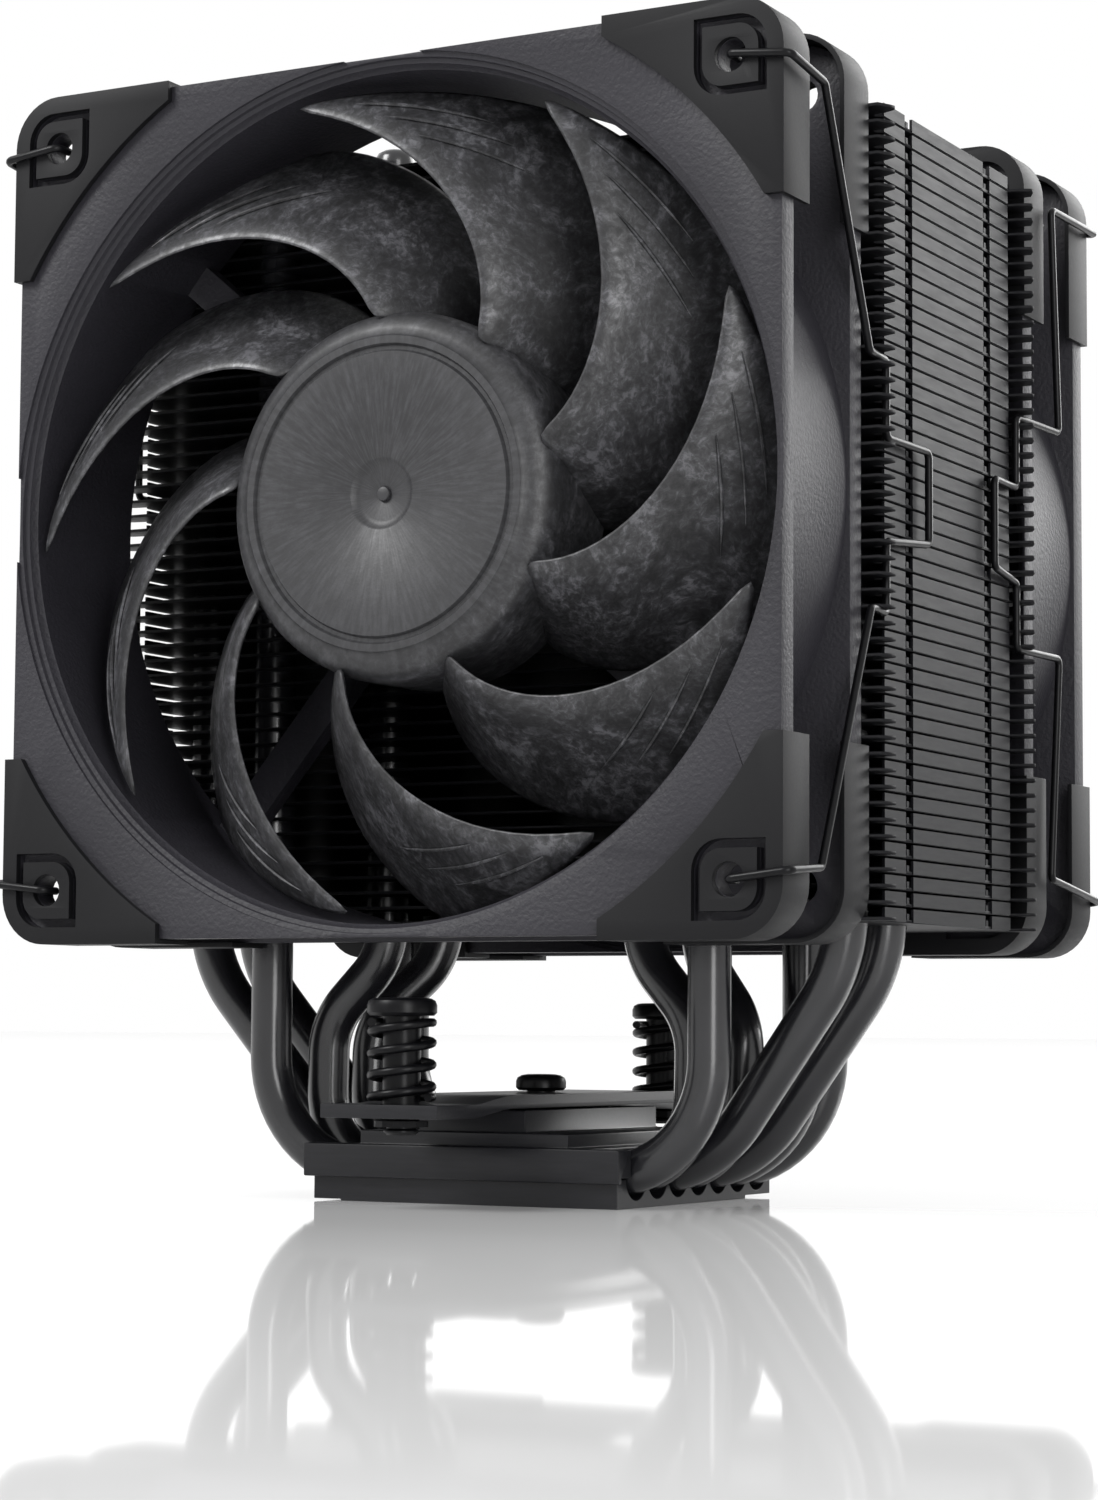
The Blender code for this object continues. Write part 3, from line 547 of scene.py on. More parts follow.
def sheet_of(name, outline, low, high, holes=(), axis="Z"):
    """A flat curve with holes, filled and drawn out from low to high, then made a mesh."""
    curve = bpy.data.curves.new(name, "CURVE")
    curve.dimensions = "2D"
    curve.fill_mode = "BOTH"
    curve.extrude = (high - low) / 2 * MM
    for loop in (outline, *holes):
        spline = curve.splines.new("POLY")
        spline.points.add(len(loop) - 1)
        for point, (x, y) in zip(spline.points, loop):
            point.co = (x * MM, y * MM, 0.0, 1.0)
        spline.use_cyclic_u = True
    item = bpy.data.objects.new(name, curve)
    bpy.context.scene.collection.objects.link(item)
    choose(item)
    bpy.ops.object.convert(target="MESH")
    item = bpy.context.object
    if axis == "Y":
        item.rotation_euler = (math.pi / 2, 0.0, 0.0)
        item.location = (0.0, (low + high) / 2 * MM, 0.0)
    elif axis == "X":
        item.rotation_euler = (math.pi / 2, 0.0, math.pi / 2)
        item.location = ((low + high) / 2 * MM, 0.0, 0.0)
    else:
        item.location = (0.0, 0.0, (low + high) / 2 * MM)
    settle(item)
    face_out(item)
    return item


def wire(name, points, radius, roundness=4, widths=None):
    """A round wire or pipe along points in millimetres, made a closed mesh."""
    curve = bpy.data.curves.new(name, "CURVE")
    curve.dimensions = "3D"
    curve.bevel_depth = radius * MM
    curve.bevel_resolution = roundness
    curve.use_fill_caps = True
    spline = curve.splines.new("POLY")
    spline.points.add(len(points) - 1)
    spline.use_smooth = True
    for i, (point, at) in enumerate(zip(spline.points, points)):
        point.co = (at[0] * MM, at[1] * MM, at[2] * MM, 1.0)
        point.radius = widths[i] if widths else 1.0
    item = bpy.data.objects.new(name, curve)
    bpy.context.scene.collection.objects.link(item)
    choose(item)
    bpy.ops.object.convert(target="MESH")
    item = bpy.context.object
    face_out(item)
    smooth(item, 50.0)
    return item


def copied(item, name, shift):
    """A copy with its own mesh, moved by shift in millimetres."""
    twin = item.copy()
    twin.data = item.data.copy()
    twin.name = name
    bpy.context.scene.collection.objects.link(twin)
    twin.data.transform(Matrix.Translation(Vector(shift) * MM))
    return twin


def joined(name, first, *others):
    """Makes several objects one, under a new name."""
    choose(first, *others)
    bpy.ops.object.join()
    first.name = name
    return first


def stand_for(item, name, body, finish, *nodes):
    """Names a finished piece, gives it its finish and body, and hides the solids that it stands for."""
    item.name = name
    item.data.name = name
    item.data.materials.clear()
    item.data.materials.append(finish_of(finish))
    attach(item, body)
    if nodes:
        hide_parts(*nodes)
    return item


def arc(centre, radius, start, end, steps):
    """Points from one angle to another, in degrees."""
    turns = [math.radians(start + (end - start) * i / steps) for i in range(steps + 1)]
    return [(centre[0] + radius * math.cos(t), centre[1] + radius * math.sin(t)) for t in turns]


def circle(centre, radius, sides):
    """Points round a circle, the first 3 degrees past its side."""
    return arc(centre, radius, 3.0, 363.0 - 360.0 / sides, sides - 1)


def rounded_square(half, radius, steps, centre=(0.0, 0.0)):
    """Points round a square of half the given width each way, with round corners."""
    reach = half - radius
    points = []
    for k, (sx, sz) in enumerate(((1, 1), (-1, 1), (-1, -1), (1, -1))):
        points += arc((centre[0] + sx * reach, centre[1] + sz * reach), radius, 90 * k, 90 * k + 90, steps)
    return points


def bent(points, radius, steps):
    """A path through points with each corner turned at the given radius."""
    path = [Vector(points[0])]
    for before, corner, after in zip(points, points[1:], points[2:]):
        corner = Vector(corner)
        a = (Vector(before) - corner).normalized()
        b = (Vector(after) - corner).normalized()
        half = a.angle(b) / 2
        centre = corner + (a + b).normalized() * (radius / math.sin(half))
        start = corner + a * (radius / math.tan(half)) - centre
        finish = corner + b * (radius / math.tan(half)) - centre
        sweep = math.pi - 2 * half
        for i in range(steps + 1):
            left = math.sin((1 - i / steps) * sweep) / math.sin(sweep)
            right = math.sin(i / steps * sweep) / math.sin(sweep)
            path.append(centre + start * left + finish * right)
    path.append(Vector(points[-1]))
    return path


# Fans


def build_frame():
    """The front fan's frame: flanges, drum with a stepped inlet, struts and motor plate."""
    fans, _ = sizes()
    front, rear, cz = fans.front_y, fans.front_y + fans.depth, fans.centre_z
    half = fans.side / 2 - 0.7
    reach = fans.hole_spacing / 2
    holes = [circle((sx * reach, cz + sz * reach), 2.2, 20) for sx in (-1, 1) for sz in (-1, 1)]
    duct = circle((0.0, cz), fans.duct_radius, 128)
    body = sheet_of("frame", rounded_square(half, 7.0, 8, (0.0, cz)), front, rear, [duct, *holes], "Y")
    drum = circle((0.0, cz), fans.duct_radius + 1.3, 128)
    wide = rounded_square(fans.side, 1.0, 1, (0.0, cz))
    waist = sheet_of("waist", wide, front + 3.6, rear - 3.6, [drum], "Y")
    cut(body, waist)
    lip = fans.duct_radius
    mouth = [
        (lip + 2.0, 0.4), (lip + 2.0, -0.5), (lip + 1.3, -0.6), (lip + 1.2, -1.2),
        (lip + 0.6, -1.3), (lip + 0.5, -1.9), (lip - 3.0, -6.0),
    ]
    cut(body, spun("mouth", mouth, 128, (0.0, front, cz), "Y"))
    for sx in SIDES.values():
        for sz in LEVELS.values():
            for low, high in ((front - 2.0, front + 1.0), (rear - 1.0, rear + 2.0)):
                cut(body, build_groove(sx, sz, low, high))
    for k in range(4):
        strut = block("strut", (18.0, rear - 3.3, -2.5), (fans.duct_radius + 0.6, rear - 0.4, 2.5))
        strut.rotation_euler = (0.0, math.radians(40 + 90 * k), 0.0)
        strut.location = (0.0, 0.0, cz * MM)
        settle(strut)
        cut(body, strut, operation="UNION")
    plate = spun("plate", [(20.4, 3.5), (21.0, 3.1), (21.0, 0.9), (20.6, 0.5)], 64, (0.0, rear, cz), "Y")
    cut(body, plate, operation="UNION")
    bevel_edges(body, 0.25, 2, 50.0)
    smooth(body, 40.0)
    return body


def pad_outline(half):
    """The edge of a corner pad: two legs, bowed round the duct on the inside."""
    leg = half - 26.0
    bow = 66.6
    turn = math.degrees(math.asin(leg / bow))
    inner = arc((0.0, 0.0), bow, turn, 90 - turn, 14)
    outer = arc((half - 7.0, half - 7.0), 7.0, 90, 0, 10)
    return [*inner, (leg, half), *outer, (half, leg)]


def boss_outline(half, radius, steps):
    """A square about the screw hole with two opposite corners rounded."""
    reach = half - radius
    outer = arc((reach, reach), radius, 0, 90, steps)
    inner = arc((-reach, -reach), radius, 180, 270, steps)
    return [*outer, (-half, half), *inner, (half, -half)]


def build_groove(sx, sz, low, high):
    """The cutter for the groove round a screw hole's boss."""
    fans, _ = sizes()
    reach = fans.hole_spacing / 2
    outer, inner = (
        [(sx * (reach + x), fans.centre_z + sz * (reach + z)) for x, z in boss_outline(half, radius, 8)]
        for half, radius in ((5.15, 4.1), (3.95, 2.9))
    )
    return sheet_of("groove", outer, low, high, [inner], "Y")


def build_pad(end_y, into, sx, sz):
    """A corner pad on one face: end_y is its outer face, and into is +1 if it reaches rearwards."""
    fans, _ = sizes()
    cz, half = fans.centre_z, fans.side / 2
    reach = fans.hole_spacing / 2
    low, high = sorted((end_y, end_y + into * 8.0))
    outline = [(sx * x, cz + sz * z) for x, z in pad_outline(half)]
    hole = circle((sx * reach, cz + sz * reach), 2.25, 24)
    pad = sheet_of("pad", outline, low, high, [hole], "Y")
    inner = rounded_square(half - 0.65, 6.4, 8, (0.0, cz))
    room = sorted((end_y + into * 0.95, end_y + into * 12.0))
    cut(pad, sheet_of("room", inner, room[0], room[1], (), "Y"))
    bevel_edges(pad, 0.55, 3, 40.0)
    groove = sorted((end_y - into * 1.0, end_y + into * 2.0))
    cut(pad, build_groove(sx, sz, *groove))
    smooth(pad, 40.0)
    return pad


def blade_point(fans, along, across, side, cz, turn):
    """A point on a blade: along runs from hub to tip, across from leading to trailing edge."""
    root, tip = fans.hub_radius - 1.2, fans.duct_radius - 0.8
    radius = root + (tip - root) * along
    sweep = math.radians(fans.blade_sweep) * along**1.3
    wrap = math.radians(26.0 + 11.0 * along)
    depth = 1.8 + 17.2 * across**1.15
    thick = 1.5 * (1.0 - 0.45 * across) * (0.35 if across in (0.0, 1.0) else 1.0)
    angle = turn + sweep - wrap * across + side * thick / radius * 0.6
    depth += side * thick
    return (radius * math.cos(angle), fans.front_y + depth, cz + radius * math.sin(angle))


def build_blade(turn):
    """A swept blade: a grid shaped to the blade's two faces, closed round its edges and smoothed."""
    fans, _ = sizes()
    rows, columns = 10, 7
    shell = bmesh.new()
    layers = []
    for side in (-0.5, 0.5):
        layer = []
        for i in range(rows + 1):
            line = []
            for j in range(columns + 1):
                at = blade_point(fans, i / rows, j / columns, side, fans.centre_z, turn)
                line.append(shell.verts.new(Vector(at) * MM))
            layer.append(line)
        layers.append(layer)
    near, far = layers
    for i in range(rows):
        for j in range(columns):
            shell.faces.new((near[i][j], near[i][j + 1], near[i + 1][j + 1], near[i + 1][j]))
            shell.faces.new((far[i][j], far[i + 1][j], far[i + 1][j + 1], far[i][j + 1]))
        shell.faces.new((near[i][0], near[i + 1][0], far[i + 1][0], far[i][0]))
        shell.faces.new((near[i][-1], far[i][-1], far[i + 1][-1], near[i + 1][-1]))
    for j in range(columns):
        shell.faces.new((near[0][j], far[0][j], far[0][j + 1], near[0][j + 1]))
        shell.faces.new((near[-1][j], near[-1][j + 1], far[-1][j + 1], far[-1][j]))
    bmesh.ops.recalc_face_normals(shell, faces=shell.faces)
    data = bpy.data.meshes.new("blade")
    shell.to_mesh(data)
    shell.free()
    blade = bpy.data.objects.new("blade", data)
    bpy.context.scene.collection.objects.link(blade)
    apply_modifier(blade, "SUBSURF", levels=1, render_levels=1)
    return blade


def build_channel(turn, along):
    """A fine flow rib that stands on a blade's front face."""
    fans, _ = sizes()
    steps, points = 16, []
    for i in range(steps + 1):
        across = 0.16 + 0.42 * i / steps
        at = blade_point(fans, along - 0.06 * i / steps, across, -0.56, fans.centre_z, turn)
        points.append(at)
    widths = [min(1.0, 0.2 + min(i, steps - i) / 5) for i in range(steps + 1)]
    return wire("channel", points, 0.26, 1, widths)


def build_impeller():
    """The front fan's impeller: a turned hub, hollow behind, with its blades and flow ribs."""
    fans, _ = sizes()
    cz, face = fans.centre_z, fans.front_y + 1.0
    hub = fans.hub_radius
    rings = [
        (0.6, -0.5), (0.9, -0.6), (1.0, -0.8), (1.0, -1.1), (1.3, -1.0), (3.6, -0.9),
        (4.3, -0.7), (4.7, -0.25), (5.1, 0.0), (19.2, 0.0), (19.5, -0.5), (20.0, -0.5),
        (20.3, 0.0), (21.3, 0.0), (21.7, -0.5), (22.6, -0.8), (24.0, -1.6), (24.9, -2.9),
        (hub, -4.6), (hub, -17.0), (hub - 1.6, -17.0), (hub - 1.6, -3.6), (3.5, -3.2),
        (3.5, -6.0), (1.9, -6.0), (1.9, -2.5),
    ]
    impeller = spun("impeller", rings, 96, (0.0, face, cz), "Y")
    smooth(impeller, 35.0)
    blades, ribs = [], []
    for k in range(fans.blade_count):
        turn = math.radians(fans.blade_phase + 360 * k / fans.blade_count)
        blade = build_blade(turn)
        choose(blade)
        bpy.ops.object.shade_smooth()
        blades.append(blade)
        ribs += [build_channel(turn, along) for along in (0.76, 0.85, 0.93)]
    return joined("impeller", impeller, *blades, *ribs)


class COOLER_OT_frames(bpy.types.Operator):
    """Builds both fan frames"""

    bl_idname = "cooler.frames"
    bl_label = "Fan frames"

    def execute(self, context):
        body = build_frame()
        twin = copied(body, "housing_rear", (0.0, sizes()[0].rear_shift, 0.0))
        stand_for(body, "housing_front", "cooler", "frame_plastic", "fan_frame_front")
        stand_for(twin, "housing_rear", "cooler", "frame_plastic", "fan_frame_rear")
        return {"FINISHED"}


class COOLER_OT_pads(bpy.types.Operator):
    """Builds the rubber pads on every corner of both fans"""

    bl_idname = "cooler.pads"
    bl_label = "Corner pads"

    def execute(self, context):
        fans, _ = sizes()
        faces = {"inlet": (fans.front_y - 1.0, 1), "outlet": (fans.front_y + fans.depth + 1.0, -1)}
        for face, (end_y, into) in faces.items():
            for side, sx in SIDES.items():
                for level, sz in LEVELS.items():
                    pad = build_pad(end_y, into, sx, sz)
                    twin = copied(pad, "pad_twin", (0.0, fans.rear_shift, 0.0))
                    for end, item in (("front", pad), ("rear", twin)):
                        node = f"pad_{end}_{face}_{level}_{side}"
                        stand_for(item, f"corner_{node}", "cooler", "pad_rubber", node)
        return {"FINISHED"}


class COOLER_OT_impellers(bpy.types.Operator):
    """Builds both impellers"""

    bl_idname = "cooler.impellers"
    bl_label = "Impellers"

    def execute(self, context):
        impeller = build_impeller()
        twin = copied(impeller, "bladed_rotor_rear", (0.0, sizes()[0].rear_shift, 0.0))
        stand_for(impeller, "bladed_rotor_front", "rotor_front", "impeller_plastic", "impeller_front")
        stand_for(twin, "bladed_rotor_rear", "rotor_rear", "impeller_plastic", "impeller_rear")
        return {"FINISHED"}


# Fins, pipes and base


def fin_outline(side_x):
    """The edge of one fin: flange line, wire notch and pointed tooth at each corner."""
    corner = [
        (side_x - 0.2, 23.0), (58.6, 23.3), (58.6, 24.4), (60.6, 24.7), (62.3, 25.5),
        (62.5, 25.9), (62.2, 26.8), (61.2, 28.7),
    ]
    right = [(x, -y) for x, y in reversed(corner)] + corner
    return right + [(-x, -y) for x, y in right]


class COOLER_OT_fins(bpy.types.Operator):
    """Builds one fin with its folded flanges and stacks it"""

    bl_idname = "cooler.fins"
    bl_label = "Fin stack"

    def execute(self, context):
        _, fins = sizes()
        low = fins.bottom
        step = (fins.top - fins.bottom - fins.thick) / (fins.count - 1)
        holes = []
        for sx in SIDES.values():
            for _, turns in PIPE_TURNS:
                x, y, _ = turns[-1]
                holes.append(circle((sx * x, y), 3.12, 16))
        fin = sheet_of("fin", fin_outline(fins.side_x), low, low + fins.thick, holes)
        parts = []
        for sx in SIDES.values():
            for y0, y1 in ((-23.0, -15.8), (-13.2, 13.2), (15.8, 23.0)):
                inner, outer = sorted((sx * (fins.side_x - 0.4), sx * fins.side_x))
                parts.append(block("flange", (inner, y0, low + 0.1), (outer, y1, low + step - 0.28)))
            for y0, y1 in ((-14.9, -14.1), (14.1, 14.9)):
                inner, outer = sorted((sx * (fins.side_x - 0.9), sx * (fins.side_x - 0.25)))
                parts.append(block("zip_tab", (inner, y0, low + 0.1), (outer, y1, low + 1.25)))
        fin = joined("fin", fin, *parts)
        apply_modifier(
            fin,
            "ARRAY",
            count=fins.count,
            use_relative_offset=False,
            use_constant_offset=True,
            constant_offset_displace=(0.0, 0.0, step * MM),
        )
        stand_for(fin, "fins", "cooler", "fin_coating", "fin_stack")
        return {"FINISHED"}


def row_y(index):
    """Where pipe number index, counted from 0, crosses the base."""
    return BASE_AXIS_Y + PIPE_PITCH * (index - 3)


class COOLER_OT_pipes(bpy.types.Operator):
    """Bends the seven heat pipes"""

    bl_idname = "cooler.pipes"
    bl_label = "Heat pipes"

    def execute(self, context):
        for number, (bend, turns) in enumerate(PIPE_TURNS, 1):
            top = (turns[-1][0], turns[-1][1], 150.6)
            climb = bent([(18.0, row_y(number - 1), PIPE_ROW_Z), *turns, top], bend, 14)
            tip = [Vector((top[0], top[1], z)) for z in (151.6, 152.3, 152.7, 152.9)]
            climb += tip
            path = [Vector((-p.x, p.y, p.z)) for p in reversed(climb)] + climb
            ends = [0.97, 0.84, 0.6, 0.3]
            widths = ends[::-1] + [1.0] * (len(path) - 8) + ends
            pipe = wire(f"pipe_{number}", path, PIPE_RADIUS, 6, widths)
            stand_for(pipe, f"bent_pipe_{number}", "cooler", "pipe_coating", f"heat_pipe_{number}")
        return {"FINISHED"}


class COOLER_OT_base(bpy.types.Operator):
    """Mills the base block and its cover"""

    bl_idname = "cooler.base"
    bl_label = "Base"

    def execute(self, context):
        contact = block("contact", (-24.0, -30.5, 0.0), (24.0, 18.1, 3.9))
        for number in range(7):
            cut(contact, round_bar("groove", (0.0, row_y(number), PIPE_ROW_Z), 3.15, 80.0, "X", 40))
        cut(contact, block("relief", (-30.0, -40.0, -1.0), (-19.6, 30.0, 0.25)))
        cut(contact, block("relief", (-30.0, 9.8, -1.0), (30.0, 30.0, 0.45)))
        bevel_edges(contact, 0.12, 1, 50.0)
        stand_for(contact, "contact_block", "cooler", "base_coating", "base_block")

        cover = block("cover", (-24.9, -32.0, 3.4), (24.9, 19.6, 8.0))
        cut(cover, block("trough", (-30.0, -28.1, 0.0), (30.0, 16.9, 7.5)))
        cut(cover, block("room", (-30.0, -30.8, 0.0), (30.0, 18.4, 4.2)))
        for sx in SIDES.values():
            inner, outer = sorted((sx * 18.6, sx * 30.0))
            cut(cover, block("notch", (inner, -28.1, 0.0), (outer, 16.9, 12.0)))
        cut(cover, block("seat", (-16.5, -30.5, 7.5), (16.5, 14.0, 9.9)), operation="UNION")
        cut(cover, block("pedestal", (-8.5, -28.0, 9.4), (8.5, 12.0, 13.0)), operation="UNION")
        bevel_edges(cover, 0.25, 2, 50.0)
        smooth(cover, 30.0)
        stand_for(cover, "pipe_cover", "cooler", "base_coating", "base_cover")
        return {"FINISHED"}


# Bar, screws and springs


class COOLER_OT_bar(bpy.types.Operator):
    """Presses the mounting bar and turns its bolt"""

    bl_idname = "cooler.bar"
    bl_label = "Mounting bar"

    def execute(self, context):
        rise = [(-45.0, 14.0), (-35.0, 14.0), (-33.0, 14.15), (-27.0, 14.95), (-25.0, 15.1)]
        top = rise + [(-y, z) for y, z in reversed(rise)]
        side = top + [(y, z - 1.8) for y, z in reversed(top)]
        bar = sheet_of("bar", [(y + BAR_CENTRE_Y, z) for y, z in side], -9.0, 9.0, (), "X")
        for y, radius in ((-SCREW_REACH, 3.0), (0.0, 2.3), (SCREW_REACH, 3.0)):
            cut(bar, round_bar("hole", (0.0, BAR_CENTRE_Y + y, 14.0), radius, 12.0))
        bevel_edges(bar, 0.3, 2, 40.0)
        smooth(bar, 35.0)
        stand_for(bar, "pressed_bar", "cooler", "bar_coating", "mounting_bar")
        rings = [
            (2.0, 9.3), (2.0, 15.4), (3.2, 15.4), (3.6, 15.8), (3.6, 16.7), (3.4, 17.2),
            (2.8, 17.55), (2.0, 17.7),
        ]
        bolt = spun("bolt", rings, 40, (0.0, BAR_CENTRE_Y, 0.0))
        cut_recess(bolt, (0.0, BAR_CENTRE_Y), 16.7)
        stand_for(bolt, "middle_bolt", "cooler", "screw_steel", "bar_bolt")
        return {"FINISHED"}


def cut_recess(item, centre, floor):
    """Sinks a cross recess into a screw's head."""
    x, y = centre
    cut(item, block("slot", (x - 1.6, y - 0.4, floor), (x + 1.6, y + 0.4, floor + 9.0)))
    cut(item, block("slot", (x - 0.4, y - 1.6, floor), (x + 0.4, y + 1.6, floor + 9.0)))
    bevel_edges(item, 0.1, 1, 50.0)
    smooth(item, 35.0)


def screw_y(end):
    """Where the screw at one end of the bar stands."""
    return BAR_CENTRE_Y + (-SCREW_REACH if end == "front" else SCREW_REACH)


class COOLER_OT_screws(bpy.types.Operator):
    """Turns both spring screws"""

    bl_idname = "cooler.screws"
    bl_label = "Spring screws"

    def execute(self, context):
        rings = [
            (1.9, 9.9), (2.35, 10.3), (2.35, 10.6), (1.95, 10.7), (1.95, 11.9), (2.55, 12.0),
            (2.55, 25.8), (4.3, 25.8), (4.7, 26.2), (4.7, 27.2), (4.45, 27.8), (3.9, 28.1),
            (3.2, 28.2),
        ]
        for end in ENDS:
            screw = spun("screw", rings, 48, (0.0, screw_y(end), 0.0))
            cut_recess(screw, (0.0, screw_y(end)), 26.9)
            stand_for(screw, f"sprung_screw_{end}", f"screw_{end}", "screw_steel", f"spring_screw_{end}")
        return {"FINISHED"}


class COOLER_OT_springs(bpy.types.Operator):
    """Winds both springs"""

    bl_idname = "cooler.springs"
    bl_label = "Springs"

    def execute(self, context):
        for end in ENDS:
            low, high, turns, radius = 14.95, 24.9, 4.6, 4.1
            points = []
            steps = int(turns * 28)
            for i in range(steps + 1):
                share = i / steps
                turn = 2 * math.pi * turns * share
                climb = min(1.0, max(0.0, (share * turns - 0.6) / (turns - 1.2)))
                points.append(
                    (
                        radius * math.cos(turn),
                        screw_y(end) + radius * math.sin(turn),
                        low + (high - low) * climb,
                    )
                )
            spring = wire("spring", points, 0.6, 3)
            stand_for(spring, f"coil_{end}", "cooler", "screw_steel", f"spring_{end}")
            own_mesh(spring)
        return {"FINISHED"}


# Clips


def clip_route(end):
    """The right-hand clip's corners, hook to hook, with y measured away from the stack's middle."""
    face, hole = 56.6, 52.5
    top, low = FAN_CENTRE_Z + hole, FAN_CENTRE_Z - hole
    if end == "front":
        shoulder, knee, loop, heel = (46.0, 145.6), (31.5, 113.3), 10.4, (47.0, 44.6)
        drop = (31.0, 79.4)
    else:
        shoulder, knee, loop, heel = (37.0, 146.6), (39.8, 113.3), 14.2, (35.8, 46.6)
        drop = (39.6, 79.4)
    return [
        (hole, face - 3.0, top),
        (hole, face, top),
        (61.2, face, top - 1.0),
        (61.2, *shoulder),
        (61.2, *knee),
        (60.4, 24.1, knee[1]),
        (60.4, 24.1, 102.9),
        (60.9, loop, 102.9),
        (60.9, loop, 90.2),
        (60.4, 24.1, 89.0),
        (60.4, 24.1, drop[1]),
        (61.2, *drop),
        (61.2, *heel),
        (61.2, face, low + 1.0),
        (hole, face, low),
        (hole, face - 3.0, low),
    ]


class COOLER_OT_clips(bpy.types.Operator):
    """Bends the four wire clips"""

    bl_idname = "cooler.clips"
    bl_label = "Wire clips"

    def execute(self, context):
        for end in ENDS:
            sy = -1 if end == "front" else 1
            for side, sx in SIDES.items():
                corners = [(sx * x, sy * y, z) for x, y, z in clip_route(end)]
                clip = wire("clip", bent(corners, 1.0, 6), 0.55, 3)
                node = f"clip_{end}_{side}"
                stand_for(clip, f"wire_{node}", node, "clip_steel", node)
        return {"FINISHED"}


class COOLER_OT_inner(bpy.types.Operator):
    """Gives the motors' inner parts and the retaining rings their finishes"""

    bl_idname = "cooler.inner"
    bl_label = "Inner parts"

    def execute(self, context):
        finishes = {
            "rotor_cup": "stator_steel",
            "stator": "stator_steel",
            "shaft": "shaft_steel",
            "bearing": "bearing_brass",
            "motor_board": "board_green",
            "retaining_ring": "clip_steel",
        }
        for part, finish in finishes.items():
            for end in ENDS:
                node = frame["nodes"][f"{part}_{end}"]
                for material_slot in node.material_slots:
                    material_slot.material = finish_of(finish)
        return {"FINISHED"}


# Stage


def add_lamp(name, place, target, size, power, tone="#ffffff"):
    """A soft area lamp that points at a target, in metres."""
    data = bpy.data.lights.new(name, "AREA")
    data.shape = "RECTANGLE"
    data.size, data.size_y = size
    data.energy = power
    data.color = linear(tone)
    lamp = bpy.data.objects.new(name, data)
    bpy.context.scene.collection.objects.link(lamp)
    lamp.location = place
    lamp.rotation_euler = (Vector(target) - Vector(place)).to_track_quat("-Z", "Y").to_euler()


def make_stage_gloss():
    """Polished white acrylic sheet: bright, with a faint mirror image."""
    material, tree, shader, place = start_material("acrylic_sheet_polished", 0.04)
    shader.inputs["Emission Color"].default_value = (1.0, 1.0, 1.0, 1.0)
    shader.inputs["Emission Strength"].default_value = 0.08
    cloud = add_node(tree, "ShaderNodeTexNoise", {"Vector": place, "Scale": 3.0, "Detail": 1.0})
    tone = ramp(tree, cloud.outputs["Fac"], [(0.3, linear("#fbfbfb")), (0.7, linear("#ffffff"))])
    tree.links.new(tone, shader.inputs["Base Color"])
    return material


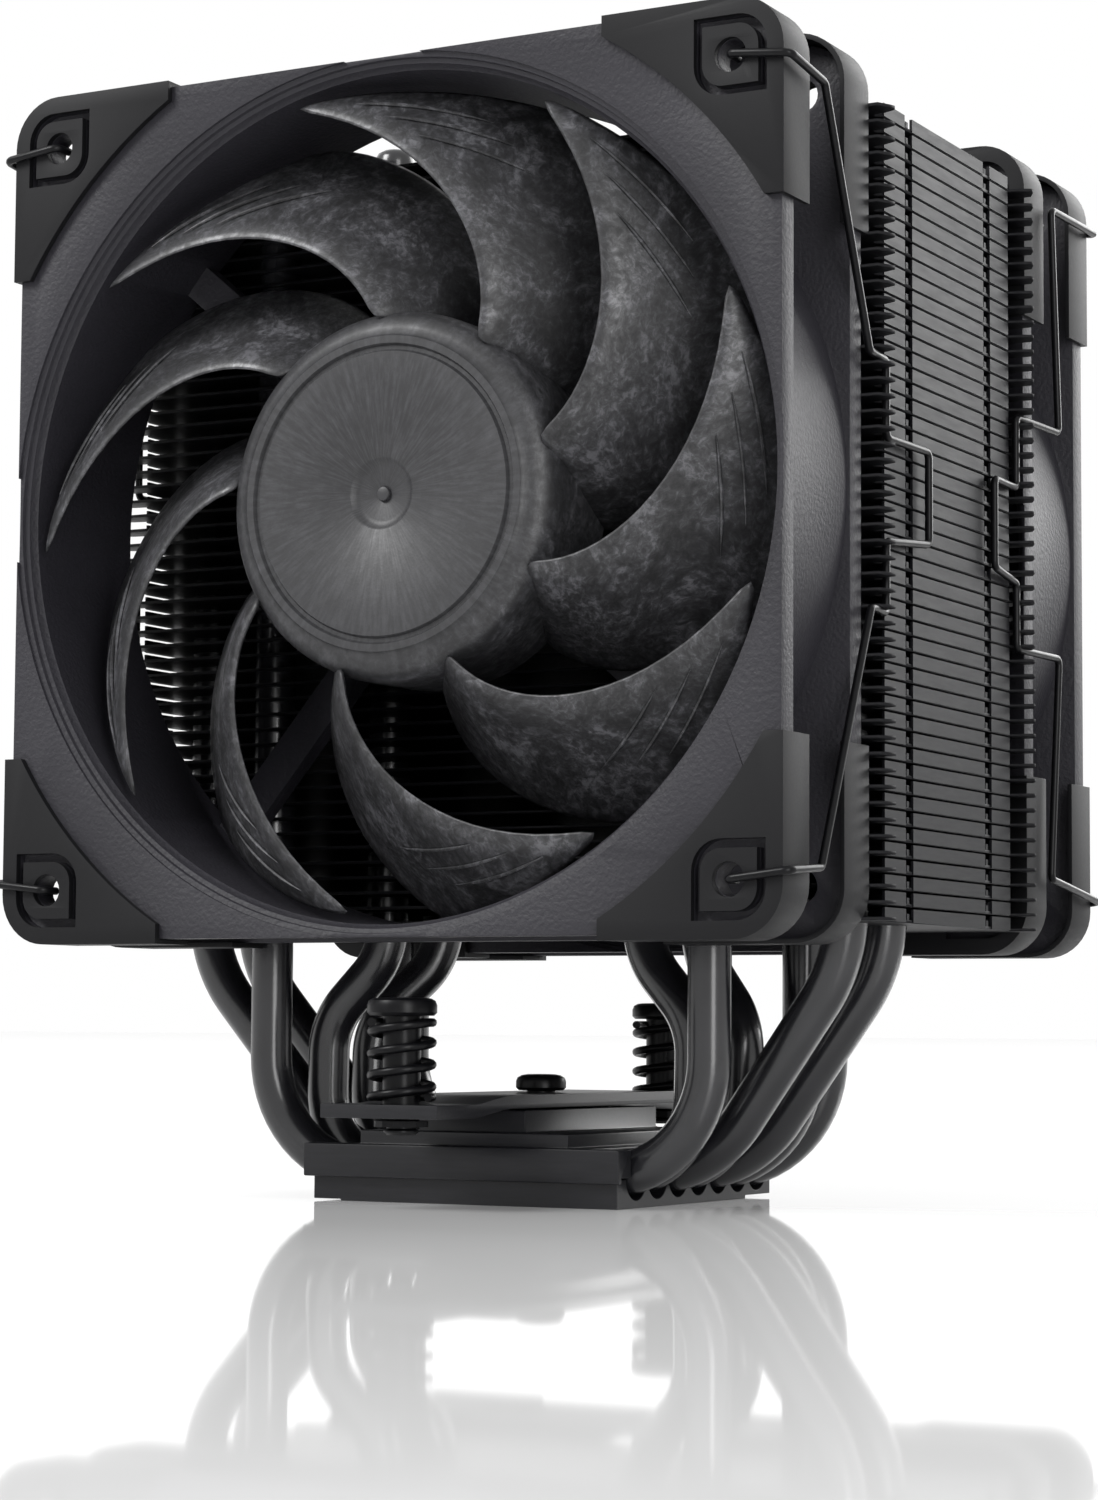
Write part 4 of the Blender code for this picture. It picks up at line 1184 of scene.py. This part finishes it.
class COOLER_OT_stage(bpy.types.Operator):
    """Sets the floor, lamps, sky and camera"""

    bl_idname = "cooler.stage"
    bl_label = "Stage"

    def execute(self, context):
        scene = context.scene
        scene.view_settings.view_transform = "Standard"
        choose()
        bpy.ops.mesh.primitive_plane_add(size=30.0, location=(0.0, 0.0, 0.0))
        floor = context.object
        floor.name = "floor"
        floor.data.materials.append(make_stage_gloss())

        world = bpy.data.worlds.new("studio")
        world.use_nodes = True
        tree = world.node_tree
        # The sky is white to look at and in reflections, and lights matt surfaces less
        seen, cast = 1.0, 0.34
        ray = add_node(tree, "ShaderNodeLightPath")
        strength = add_node(
            tree,
            "ShaderNodeMapRange",
            {"Value": ray.outputs["Is Diffuse Ray"], "To Min": seen, "To Max": cast},
        )
        tree.nodes["Background"].inputs["Color"].default_value = (1.0, 1.0, 1.0, 1.0)
        tree.links.new(strength.outputs["Result"], tree.nodes["Background"].inputs["Strength"])
        scene.world = world

        middle = (0.0, 0.0, 0.09)
        add_lamp("key", (-0.45, -0.6, 0.7), middle, (0.4, 0.4), 8.0)
        add_lamp("side", (0.75, -0.7, 0.3), middle, (0.35, 0.7), 5.0)
        add_lamp("back", (0.3, 0.9, 0.5), middle, (0.8, 0.6), 8.0)

        lens = bpy.data.cameras.new("camera")
        lens.sensor_fit = "VERTICAL"
        lens.sensor_height = 36.0
        lens.lens = FOCAL_LENGTH
        lens.clip_start = 0.01
        camera = bpy.data.objects.new("camera", lens)
        scene.collection.objects.link(camera)
        yaw, pitch, roll = (math.radians(a) for a in CAMERA_TURNS)
        turn = Matrix.Rotation(yaw, 4, "Z") @ Matrix.Rotation(math.pi / 2 + pitch, 4, "X")
        aimed = Matrix.Translation(CAMERA_PLACE) @ turn
        camera.matrix_world = aimed @ Matrix.Rotation(roll, 4, "Z")
        scene.camera = camera
        return {"FINISHED"}


OPERATORS = (
    COOLER_OT_frames,
    COOLER_OT_pads,
    COOLER_OT_impellers,
    COOLER_OT_fins,
    COOLER_OT_pipes,
    COOLER_OT_base,
    COOLER_OT_bar,
    COOLER_OT_screws,
    COOLER_OT_springs,
    COOLER_OT_clips,
    COOLER_OT_inner,
    COOLER_OT_stage,
)


class COOLER_PT_panel(bpy.types.Panel):
    """Lists the cooler's sizes, colours and steps"""

    bl_label = "Tower cooler"
    bl_space_type = "VIEW_3D"
    bl_region_type = "UI"
    bl_category = "Cooler"

    def draw(self, context):
        column = self.layout.column()
        for group in (context.scene.cooler_fans, context.scene.cooler_fins, context.scene.cooler_colours):
            for key in group.__annotations__:
                column.prop(group, key)
        for operator in OPERATORS:
            column.operator(operator.bl_idname)


GROUPS = {"cooler_fans": CoolerFanSizes, "cooler_fins": CoolerFinSizes, "cooler_colours": CoolerColours}


def register():
    for group in (*GROUPS.values(), *OPERATORS, COOLER_PT_panel):
        bpy.utils.register_class(group)
    for name, group in GROUPS.items():
        setattr(bpy.types.Scene, name, bpy.props.PointerProperty(type=group))


def unregister():
    for name in GROUPS:
        delattr(bpy.types.Scene, name)
    for group in reversed((*GROUPS.values(), *OPERATORS, COOLER_PT_panel)):
        bpy.utils.unregister_class(group)


def main():
    register()
    for operator in OPERATORS:
        family, name = operator.bl_idname.split(".")
        getattr(getattr(bpy.ops, family), name)()


if __name__ == "__main__":
    main()
